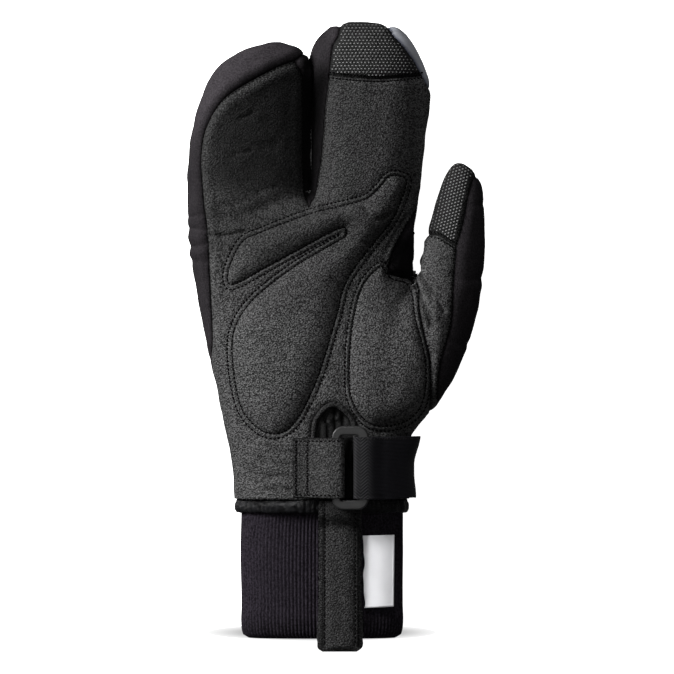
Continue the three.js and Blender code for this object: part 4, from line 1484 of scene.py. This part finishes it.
@dataclass
class Shell:
    """The panels of the hand, cut from one skin and sewn together."""

    workshop: Workshop
    skin: Skin
    wall: float = 2.4
    fill: float = 0.5

    def build(self) -> Ground:
        """Makes every panel and the stitches between them.

        Returns:
            The skin as a ground for the trims.
        """
        self.skin.build()
        ground = Ground(self.skin.mesh)
        softshell, leather = ("softshell", "softshell"), ("leather", "leather")
        looks = {
            Panel.BACK: softshell, Panel.PALM: leather,
            Panel.INDEX_GRIP: ("grip_leather", "dot_grip"),
            Panel.REFLECTIVE: ("reflective", "reflective"), Panel.CLEFT: softshell,
            Panel.CROTCH: softshell, Panel.THUMB_LEATHER: leather,
            Panel.THUMB_GRIP: ("grip_leather", "weave_grip"), Panel.THUMB_BACK: softshell,
            Panel.PALM_PAD: leather, Panel.THUMB_PAD: leather,
            Panel.NOTCH: ("gusset", "lining_cloth"),
        }
        for panel, (finish, slot) in looks.items():
            made = self.workshop.piece(self.skin.panel(panel), "sewn_" + panel.value,
                                       [finish, "lining"], slot, [panel.value])
            thicken(made, self.wall, -1.0, lined=True)
        self._stitches(ground)
        self._grips(ground)
        return ground

    def _stitches(self, ground: Ground) -> None:
        """Sews the pads' double rows and the seams' single ones."""
        sewing = Sewing()
        for pad in (PALM_PAD, THUMB_PAD):
            for side in (-1, 1):
                sewing.row(ground, pad.shifted(side * STITCH_GAP), floor=PALM_FLOOR)
        for side in (-1, 1):
            sewing.row(ground, beside(GRIP_SEAM, side * 1.25), 1.6)
            sewing.row(ground, beside(THUMB_GRIP_SEAM, side * 1.2), 1.6)
        self.workshop.piece(sewing.form, "pad_stitches", ["thread"], "satin")
        seams = Sewing(length=1.25, width=0.6)
        for seam, low, high, aside, pitch in (
                (ULNAR_SEAM, -8, 132, -0.7, 1.9), (CLEFT_OUTER, 64, 128, 1.1, 2.0),
                (CLEFT_INNER, 64, 122, -1.1, 2.0), (THUMB_SEAM_LOW, -30, 42, 0.8, 2.0),
                (CROTCH_SEAM, 30, 70, 0.9, 1.9)):
            seams.row(ground, beside(between(seam, low, high), aside), pitch)
        knot = Line([[25.6, 30.2], [27.6, 31.8], [26.4, 34.2], [24.0, 33.6], [23.6, 31.4]],
                    closed=True)
        seams.row(ground, knot, 1.5)
        self.workshop.piece(seams.form, "seam_stitches", ["thread"], "satin")

    def _grips(self, ground: Ground) -> None:
        """Prints the silicone dots of the finger and the squares of the thumb."""
        faces, label = self.skin.mesh.faces, self.skin.label_layer
        order = list(Panel)
        plans = (
            ("grip_dots", Panel.INDEX_GRIP, "dot_grip", 1.72, 0.0, (0.92, 0.66, 0.36), 6),
            ("thumb_dots", Panel.THUMB_GRIP, "weave_grip", 1.62, 0.30, (1.0, 0.82, 0.36), 4),
        )
        for name, panel, slot, pitch, lean, size, sides in plans:
            outline = OUTLINES[panel]
            dots = Sewing(sides=sides)
            low, high = outline.points.min(0), np.minimum(outline.points.max(0), [76, 160])
            turn = Matrix.Rotation(lean, 2)
            centre = Vector((low + high) / 2)
            rows, columns = (int((high[k] - low[k]) / pitch) + 12 for k in (1, 0))
            for i in range(-rows, rows):
                for j in range(-columns, columns):
                    flat = Vector(((j + 0.5 * (i % 2)) * pitch, i * pitch * 0.87))
                    spot = turn @ flat + centre
                    found = ground.at(*spot)
                    if found is None or faces[found[2]][label] != order.index(panel):
                        continue
                    if outline.signed(np.array([spot]))[0] > 1.5 and found[1].z > 0.22:
                        way = turn @ Vector((1, 0))
                        dots.add(found[0], found[1], Vector((*way, 0)), size)
            self.workshop.piece(dots.form, name, ["silicone"], slot)


def groove_depth(turn: np.ndarray) -> np.ndarray:
    """Depth of the groove between two ribs, 1 in its middle, for an angle round the rib."""
    return ((1 + np.cos(turn)) / 2) ** 1.6


@dataclass
class Cuff:
    """The rib-knitted cuff and the puckered satin binding above it."""

    workshop: Workshop
    rows: Points = (
        (-141.5, -43.4, 30.2, 0.9, 34.2, 2.9), (-138.5, -44.2, 31.0, 0.6, 35.0, 2.9),
        (-125, -44.5, 31.2, 0.6, 35.4, 2.9), (-92, -44.7, 31.5, 0.6, 36.0, 2.8),
        (-84, -44.5, 31.5, 3.0, 36.3, 2.6), (-70, -44.0, 30.8, 4.4, 36.4, 2.6),
    )
    ribs: int = 110
    steps: int = 8
    wall: float = 1.9
    mouth: float = 2.2
    bind_low: float = -82.8
    bind_high: float = -76.0

    def _outline(self, row: np.ndarray, grow: float, at: np.ndarray) -> np.ndarray:
        """Evenly spaced points round a section."""
        dense = Lobe((), sides=720).section(row, grow)
        return spaced(np.vstack([dense, dense[:1]]), at)

    def build(self) -> Ground:
        """Makes the knit and the binding.

        Returns:
            The knit as a ground for the loop and the label.
        """
        knit = self._knit()
        ground = Ground(knit)
        made = self.workshop.piece(knit, "knitted_cuff", ["knit"], "knit", ["rib_cuff"])
        thicken(made, self.wall, -1.0)
        binding = self.workshop.piece(self._binding(), "puckered_binding", ["satin"], "satin",
                                      ["hem_binding"])
        soften(binding, 0.1)
        return ground

    def _knit(self) -> bmesh.types.BMesh:
        """The ribbed tube, drawn in round its mouth."""
        table = eased_rows(self.rows, 2.2)
        length = table[-1, 0] - table[0, 0]
        turn = 2 * math.pi * np.arange(self.steps) / self.steps
        profile = 0.14 - 0.52 * groove_depth(turn)

        def place(u: np.ndarray, v: np.ndarray) -> np.ndarray:
            out = np.zeros((len(u), 3))
            y = table[0, 0] + v * length
            for level in np.unique(np.round(v, 6)):
                here = np.abs(v - level) < 1e-5
                row = [np.interp(y[here][0], table[:, 0], column) for column in table.T]
                rise = self.mouth - (y[here][0] - table[0, 0])
                drawn = -(self.mouth - math.sqrt(max(self.mouth**2 - max(rise, 0) ** 2, 0)))
                out[here] = self._outline(np.array(row), drawn, u[here])
            centre = np.array([-6.6, 0.0, 17.0])
            away = (out - centre) * np.array([1, 0, 1])
            away /= np.linalg.norm(away, axis=1)[:, None]
            step = np.round(u * self.ribs * self.steps).astype(int) % self.steps
            wide = 0.14 * rough(out, 26, 7) * ease(out[:, 2], 1, 6)
            out = out + away * (profile[step] + wide)[:, None]
            out[:, 2] = np.maximum(out[:, 2], RESTING)
            return out

        form = fabric(self.ribs * self.steps, 46, place, (self.ribs * RIB, length))
        # The grooves between ribs, which the knit's finish darkens with painted shade.
        groove = form.verts.layers.float.new("groove")
        layer = form.loops.layers.uv["UVMap"]
        for face in form.faces:
            for loop in face.loops:
                loop.vert[groove] = groove_depth(2 * math.pi * loop[layer].uv[0] / RIB)
        return form

    def _binding(self) -> bmesh.types.BMesh:
        """A soft tube of cloth round the hem, gathered in small puckers."""
        row = np.array(HEM_ROW)
        middle, half = (self.bind_low + self.bind_high) / 2, (self.bind_high - self.bind_low) / 2

        def place(u: np.ndarray, v: np.ndarray) -> np.ndarray:
            ring = self._outline(row, -2.1, u)
            normal = self._outline(row, -1.1, u) - ring
            normal[:, 1] = 0
            normal /= np.linalg.norm(normal, axis=1)[:, None]
            angle = 2 * math.pi * v
            c, s = np.cos(angle), np.sin(angle)
            folds = rough(np.stack([u * 190, 0 * u, 0 * u], 1), 5.2, 11)
            tight = np.abs(np.sin(2 * math.pi * (u * 31 + 0.35 * np.sin(u * 47)))) ** 0.6
            puff = 0.82 + 0.30 * folds + 0.34 * tight - 0.35 * hump(s - 0.55, 0.2)
            out = ring + normal * (1.55 * np.sign(c) * np.abs(c) ** 0.8 * puff)[:, None]
            lift = middle + half * np.sign(s) * np.abs(s) ** 0.85 * (0.92 + 0.09 * folds)
            out[:, 1] = lift + 0.2 * np.sin(u * 2 * math.pi * 17) * c
            out[:, 2] = np.maximum(out[:, 2], 0.1)
            return out

        return fabric(420, 20, place)


@dataclass
class Strap:
    """The leather tab, the plastic ring and the elastic band across the wrist."""

    workshop: Workshop
    low: float = -75.6
    width: float = 29.0
    ring_left: float = -1.9
    ring_right: float = 15.3
    ring_low: float = -80.7
    ring_high: float = -41.6
    ring_z: float = 46.2
    ring_thick: float = 1.8
    slot: tuple[float, float, float, float] = (1.8, 10.4, -76.2, -45.9)

    def build(self) -> None:
        """Makes the three pieces and their stitches."""
        self._ring()
        self._tab()
        self._band()

    @property
    def bar(self) -> float:
        """Height of the middle of the ring's bars."""
        return self.ring_z + self.ring_thick / 2

    @property
    def wrap(self) -> float:
        """Distance from a bar's middle to the middle of the strip folded round it."""
        return self.ring_thick / 2 + 0.3 + TRIM_WALL / 2

    def _strip(self, path: Points, length_steps: int, edge: Ends, name: str, finish: str,
               slot: str, node: str) -> Ground:
        """A strip of even thickness whose middle follows a path of x and z.

        Args:
            path: Points of x and z.
            length_steps: Faces along the path.
            edge: Gives the low and high end in y for shares of the path.
            name: Name of the piece.
            finish: Key of its finish.
            slot: The record's slot.
            node: The CAD node that it stands for.

        Returns:
            The strip's upper face as a ground.
        """
        line = Line(path, spacing=0.4).points
        total = length_of(line)

        def place(u: np.ndarray, v: np.ndarray) -> np.ndarray:
            x, z = spaced(line, u).T
            low, high = edge(u)
            y = low + (high - low) * v
            rim = np.minimum(v, 1 - v) * self.width
            quilt = -0.16 * hump(rim - 1.5, 0.5) + 0.10 * ease(rim, 2.0, 5.0)
            bend = 0.10 * rough(np.stack([x, y, z], 1), 8.0, 21)
            flare = 3.0 * ease(y, -60, -46) + 0.9 * ease(-y, 64, 75) - 0.5
            x = x + ease(x, 27, 36) * flare
            return np.stack([x, y, z + (quilt + bend) * np.where(u < 0.5, 1, 0.2)], 1)

        form = fabric(length_steps, 44, place, (total, self.width))
        darken(form, lambda u, v: hump(np.minimum(v, self.width - v), 0.6)
               + hump(np.minimum(u, total - u), 0.6))
        ground = Ground(form.copy(), TRIM_WALL / 2)
        thicken_trim(self.workshop.piece(form, name, [finish], slot, [node]))
        return ground

    def _tab(self) -> None:
        """The leather tab, folded round the ring's left bar, with its edge stitching."""
        bar, wrap = self.bar, self.wrap
        end = self.slot[0] + 0.6 + TRIM_WALL / 2
        palm = 42.5
        path = ((-20.2, palm + 2.7), (-12, palm + 3.2), (-4, bar + wrap - 0.4), (-1, bar + wrap),
                (end - 1.2, bar + wrap), (end + 0.2, bar + 0.9), (end + 0.5, bar),
                (end + 0.2, bar - 0.9), (end - 1.2, bar - wrap), (-1, bar - wrap),
                (-6, palm + 1.6), (-12, palm + 1.5), (-20.0, palm + 1.3))

        def edge(u: np.ndarray) -> tuple[np.ndarray, np.ndarray]:
            drop = 0.9 * (1 - ease(u, 0, 0.42))
            return self.low + 0.3 + 0.4 * drop, self.low + self.width - 0.5 - 0.3 * drop

        ground = self._strip(path, 60, edge, "leather_tab", "strap_leather", "leather",
                             "strap_tab")
        sewing = Sewing(length=1.4, width=0.75)
        top, bottom = self.low + self.width - 2.0, self.low + 1.7
        for y in (top, bottom):
            sewing.row(ground, Line([[-19.4, y], [-8, y], [1.8, y]], smooth=False))
        for x in (-18.7, -13.3):
            zigzag = [[x + 0.6 * (-1) ** i, bottom + i * 1.2]
                      for i in range(int((top - bottom) / 1.2) + 1)]
            sewing.row(ground, Line(zigzag, smooth=False), math.hypot(1.2, 1.2))
        self.workshop.piece(sewing.form, "tab_stitches", ["thread"], "satin")

    def _band(self) -> None:
        """The elastic band, folded round the ring's right bar and on round the thumb side."""
        bar, wrap = self.bar, self.wrap
        end = self.slot[1] - 0.6 - TRIM_WALL / 2
        path = ((20.4, 43.2), (16, bar - wrap - 0.2), (end + 1.2, bar - wrap),
                (end - 0.2, bar - 0.9), (end - 0.5, bar), (end - 0.2, bar + 0.9),
                (end + 1.2, bar + wrap), (16.4, bar + wrap - 0.1), (21, 45.6), (25.6, 43.1),
                (30.4, 39.2), (33.9, 34.6), (36.0, 29.0), (36.7, 23.4), (36.75, 18.0))

        def edge(u: np.ndarray) -> tuple[np.ndarray, np.ndarray]:
            wave = 0.25 * np.sin(u * 9 + 1)
            return self.low + wave, self.low + self.width + 0.5 * wave

        ground = self._strip(path, 110, edge, "elastic_strap", "elastic", "elastic",
                             "elastic_band")
        sewing = Sewing()
        for i in range(20):
            found = ground.at(11.2 + i * 1.25, self.low + self.width - 0.9)
            if found:
                sewing.add(found[0], found[1], Vector((0.7, 0.7, 0)), (1.3, 0.26, 0.2))
        self.workshop.piece(sewing.form, "band_stitches", ["grey_thread"], "satin")

    def _ring(self) -> None:
        """The moulded ring: a rounded plate with one slot."""
        form = bmesh.new()
        outer = self._rounded(form, (self.ring_left, self.ring_right, self.ring_low,
                                     self.ring_high), 5.4)
        inner = self._rounded(form, self.slot, 1.4)
        bmesh.ops.bridge_loops(form, edges=outer + inner)
        grown = bmesh.ops.extrude_face_region(form, geom=form.faces[:])["geom"]
        bmesh.ops.translate(form, vec=(0, 0, self.ring_thick),
                            verts=[g for g in grown if isinstance(g, bmesh.types.BMVert)])
        bmesh.ops.recalc_face_normals(form, faces=form.faces)
        sharp = [edge for edge in form.edges if edge.calc_face_angle(0) > 1.2]
        bmesh.ops.bevel(form, geom=sharp, offset=0.78, segments=5, profile=0.5,
                        affect="EDGES", material=-1)
        made = self.workshop.piece(form, "moulded_ring", ["plastic"], "plastic", ["strap_ring"])
        made.data.set_sharp_from_angle(angle=math.radians(40))

    def _rounded(self, form: bmesh.types.BMesh, box: Sequence[float],
                 radius: float) -> list[bmesh.types.BMEdge]:
        """Adds the outline of a rounded box, 64 edges, to the ring's plate."""
        left, right, low, high = box
        made = bmesh.ops.create_circle(form, segments=64, radius=1.0)["verts"]
        for vert in made:
            angle = math.atan2(vert.co.y, vert.co.x)
            turn = (angle / (math.pi / 2)) % 4
            quarter, share = int(turn) % 4, turn - int(turn)
            cx = right - radius if quarter in (0, 3) else left + radius
            cy = high - radius if quarter in (0, 1) else low + radius
            bend = (quarter + share) * math.pi / 2
            vert.co = (cx + radius * math.cos(bend), cy + radius * math.sin(bend), self.ring_z)
        return edges_of(made)


@dataclass
class PullLoop:
    """The folded leather strip that the mitt is pulled on by."""

    workshop: Workshop
    x: float = 1.9
    high: float = -76.6
    low: float = -147.1
    front: float = 16.4
    back: float = 21.4
    fold: float = 1.9
    corner: float = 2.7

    def build(self) -> None:
        """Makes the strip and its stitches."""
        flat = CUFF_TOP + (0.45 + TRIM_WALL / 2)
        under = ((self.high, 42.6), (-83.4, 41.4), (-88.5, flat + 0.6), (-94, flat),
                 (-114, flat - 0.2), (-137.5, flat - 0.6))
        turn = ((self.low + 1.3, flat - 0.9), (self.low + 0.6, flat),
                (self.low + 1.3, flat + 0.8))
        path = np.array([*under, *turn, *[(y, z + self.fold) for y, z in under[::-1]]])
        line = Line(path, spacing=0.5).points
        total = length_of(line)
        fold_at = (np.argmin(line[:, 0]) + 1) / len(line)

        def place(u: np.ndarray, v: np.ndarray) -> np.ndarray:
            y, z = spaced(line, u).T
            on_top = ease(u, fold_at + 0.001, fold_at + 0.014)
            ragged = 0.22 * rough(np.stack([y, v * 40, 0 * y], 1), 3.2, 31) * (1 - on_top)
            back = self.front + 3.6 + (self.back - self.front - 3.6) * ease(-y, 124, 135)
            half = (back + (self.front - back) * on_top) / 2 + ragged
            near = np.clip(self.corner - (y - self.low - 0.58), 0, self.corner)
            half = half - self.corner * (1 - (1 - (near / self.corner) ** 2.6) ** (1 / 2.6))
            x = self.x + half * (2 * v - 1)
            rim = np.minimum(v, 1 - v) * self.front
            dome = ease(rim, 0.1, 5.5) - 0.3 * hump(rim - 1.35, 0.5)
            soft = 0.16 * rough(np.stack([x, y, z], 1), 9.0, 33)
            return np.stack([x, y, z + (dome + soft) * on_top], 1)

        form = fabric(230, 60, place, (total, self.front))
        lip = self.front * (1 - self.front / self.back) / 2

        # Front layer: darker at its edges, with a painted shadow of the ring near its upper end.
        # Lower layer: painted shade beside the front layer's edges.
        def shade(u: float, v: float) -> float:
            rim = min(v, self.front - v)
            under = 1 - ease(u / total, fold_at - 0.03, fold_at)
            top = max(hump(rim, 0.75), 0.55 * ease(u, total - 13, total - 7))
            return (1 - under) * top + under * (0.1 + 0.85 * ease(rim, 0.45 * lip, lip))

        darken(form, shade)
        ground = Ground(form.copy(), TRIM_WALL / 2)
        thicken_trim(self.workshop.piece(form, "folded_loop", ["loop_leather"], "leather",
                                         ["pull_loop"]))
        sewing = Sewing(width=0.7)
        for side in (-1, 1):
            x = self.x + side * (self.front / 2 - 0.9)
            sewing.row(ground, Line([[x, self.high - 1], [x, -110], [x, self.low + 4.4]],
                                    smooth=False), 2.0)
        self.workshop.piece(sewing.form, "loop_stitches", ["thread"], "satin")


@dataclass
class Label:
    """A blank woven label, its left edge caught beside the pull loop."""

    workshop: Workshop
    left: float = 12.9
    right: float = 27.3
    low: float = -126.4
    high: float = -93.0
    thick: float = 0.45

    def build(self, ground: Ground) -> None:
        """Lays the label on the cuff."""
        def place(u: np.ndarray, v: np.ndarray) -> np.ndarray:
            y = self.low + (self.high - self.low) * v
            wave = 0.30 * np.sin(v * 11 + 0.6) + 0.16 * np.sin(v * 23)
            left = self.left + wave * (1 - u) + 0.3 * (1 - v)
            right = self.right - 0.35 * (1 - v)
            x = left + (right - left) * u
            y = y - 0.5 * (1 - u) * (1 - v) + 0.25 * u * v
            z = np.array([ground.at(a, b)[0].z for a, b in zip(x, y)])
            z = np.maximum(z, 35.2 - 0.02 * (x - 13) ** 2)
            lift = 0.45 + 0.22 * np.sin(v * 9 + u * 3) * u
            return np.stack([x, y, z + lift], 1)

        form = fabric(24, 44, place, (self.right - self.left, self.high - self.low))
        for _ in range(6):
            bmesh.ops.smooth_vert(form, verts=form.verts, factor=0.5, use_axis_z=True)
        made = self.workshop.piece(form, "woven_label", ["label"], "label", ["blank_label"])
        thicken(made, self.thick, 1.0, even=True)


def piping(workshop: Workshop, ground: Ground) -> None:
    """The corded leather edge round the arch of the notch."""
    keep = NOTCH.points[NOTCH.points[:, 1] > -49.5]
    start = int(np.argmax(keep[:, 0]))
    arch = np.roll(keep, -start, axis=0)
    line = spaced(arch, np.linspace(0, 1, 90))
    spots = [ground.at(x, y) for x, y in line + np.array([0.0, 0.6])]
    tops = np.array([[*found[0]] for found in spots])
    tops[:, :2] = line
    ways = np.gradient(tops, axis=0)
    ways /= np.linalg.norm(ways, axis=1)[:, None]
    across = np.cross(ways, [0, 0, 1])
    across /= np.linalg.norm(across, axis=1)[:, None]
    up = np.cross(across, ways)

    def place(u: np.ndarray, v: np.ndarray) -> np.ndarray:
        i = np.round(u * (len(line) - 1)).astype(int)
        angle = 2 * math.pi * v
        radius = 1.15 + 0.10 * rough(tops[i], 3.5, 41)
        out = np.cos(angle)[:, None] * across[i] + np.sin(angle)[:, None] * up[i]
        return tops[i] + up[i] * 0.35 + out * radius[:, None]

    form = fabric(len(line) - 1, 14, place)
    ends = [edge for edge in form.edges if edge.is_boundary]
    bmesh.ops.holes_fill(form, edges=ends, sides=0)
    bmesh.ops.recalc_face_normals(form, faces=form.faces)
    form.verts.layers.float.new("seam")
    workshop.piece(form, "arch_piping", ["cord"], "satin", ["notch_piping"])


# The studio


@dataclass
class Studio:
    """A pale floor, soft lights and a camera straight above the mitt, in metres.

    The floor's own shadow, at the cuff's end, is painted. Its middle and half widths are in
    millimetres, as is the camera's sensor.
    """

    distance: float = 3.0
    frame_width: float = 0.3168
    centre: tuple[float, float] = (0.00057, -0.00035)
    shadow: tuple[tuple[float, float], ...] = ((-6.5, -140.4), (58.0, 4.4))
    sensor: float = 36.0
    floor_drop: float = 0.0006
    daylight: float = 0.14

    def build(self) -> None:
        """Lays the floor and sets the lights and the camera."""
        self._floor()
        self._sky()
        self._light("key", (-1.02, 0.56, 0.58), 0.5, 62)
        self._light("rim", (-0.1, 1.1, 0.75), 0.2, 9)
        self._light("top", (0.1, -0.1, 1.8), 0.6, 5)
        self._camera()

    def _floor(self) -> None:
        """Lays the floor, which doesn't light or mirror the mitt."""
        form = bmesh.new()
        bmesh.ops.create_grid(form, x_segments=2, y_segments=2, size=2.5)
        data = bpy.data.meshes.new("floor")
        form.to_mesh(data)
        form.free()
        graph = Graph("pale_floor")
        place = graph.place()
        grain = graph.noise(place, 0.02, 2.0)
        x, y, _ = graph.axes(place)
        middle, half = self.shadow
        across, along = (x - middle[0]) * (1 / half[0]), (y - middle[1]) * (1 / half[1])
        shadow = 1 - (across * across + along * along).eased(0.0, 1.0)
        colour = graph.blend(shadow.eased(0.0, 0.06),
                             graph.blend(grain, grey(0.86), grey(0.9)), grey(0.01))
        data.materials.append(graph.finish(colour, 0.8, Specular_IOR_Level=0.0,
                                           Emission_Strength=1.0))
        graph.feed(graph.shader.inputs["Emission Color"],
                   graph.blend(shadow, grey(1.0), grey(0.22)))
        floor = bpy.data.objects.new("floor", data)
        bpy.context.scene.collection.objects.link(floor)
        floor.location.z = -self.floor_drop
        floor.visible_diffuse = floor.visible_glossy = False

    def _sky(self) -> None:
        """Sets the even light from all round."""
        world = bpy.data.worlds.new("soft_white")
        world.use_nodes = True
        sky = world.node_tree.nodes["Background"].inputs
        sky["Color"].default_value, sky["Strength"].default_value = (1, 1, 1, 1), self.daylight
        bpy.context.scene.world = world

    def _camera(self) -> None:
        """Hangs the camera above the mitt."""
        scene = bpy.context.scene
        scene.view_settings.view_transform = "Standard"
        camera = bpy.data.cameras.new("camera")
        camera.sensor_width = self.sensor
        camera.lens = self.sensor * (self.distance - 0.025) / self.frame_width
        camera.clip_end = 20.0
        held = bpy.data.objects.new("camera", camera)
        held.location = (*self.centre, self.distance)
        scene.collection.objects.link(held)
        scene.camera = held

    def _light(self, name: str, place: Sequence[float], size: float, power: float) -> None:
        """Adds one soft square light that faces the mitt.

        Args:
            name: Name of the light.
            place: Where it hangs, in metres.
            size: Its side.
            power: Its watts.
        """
        data = bpy.data.lights.new(name, "AREA")
        data.shape = "SQUARE"
        data.size, data.energy = size, power
        made = bpy.data.objects.new(name, data)
        made.location = place
        made.rotation_euler = (-Vector(place)).to_track_quat("-Z", "Y").to_euler()
        bpy.context.scene.collection.objects.link(made)


def corners(box: Sequence[Vector]) -> list[list[float]]:
    """A box's two corners as plain lists."""
    return [list(corner) for corner in box]


def main() -> None:
    """Loads the frame, builds the mitt round it and sets the studio."""
    logging.basicConfig(level=logging.INFO)
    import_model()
    Studio().build()
    workshop = Workshop()
    ground = Shell(workshop, Skin()).build()
    knit = Cuff(workshop).build()
    piping(workshop, ground)
    Strap(workshop).build()
    PullLoop(workshop).build()
    Label(workshop).build(knit)


if __name__ == "__main__":
    main()
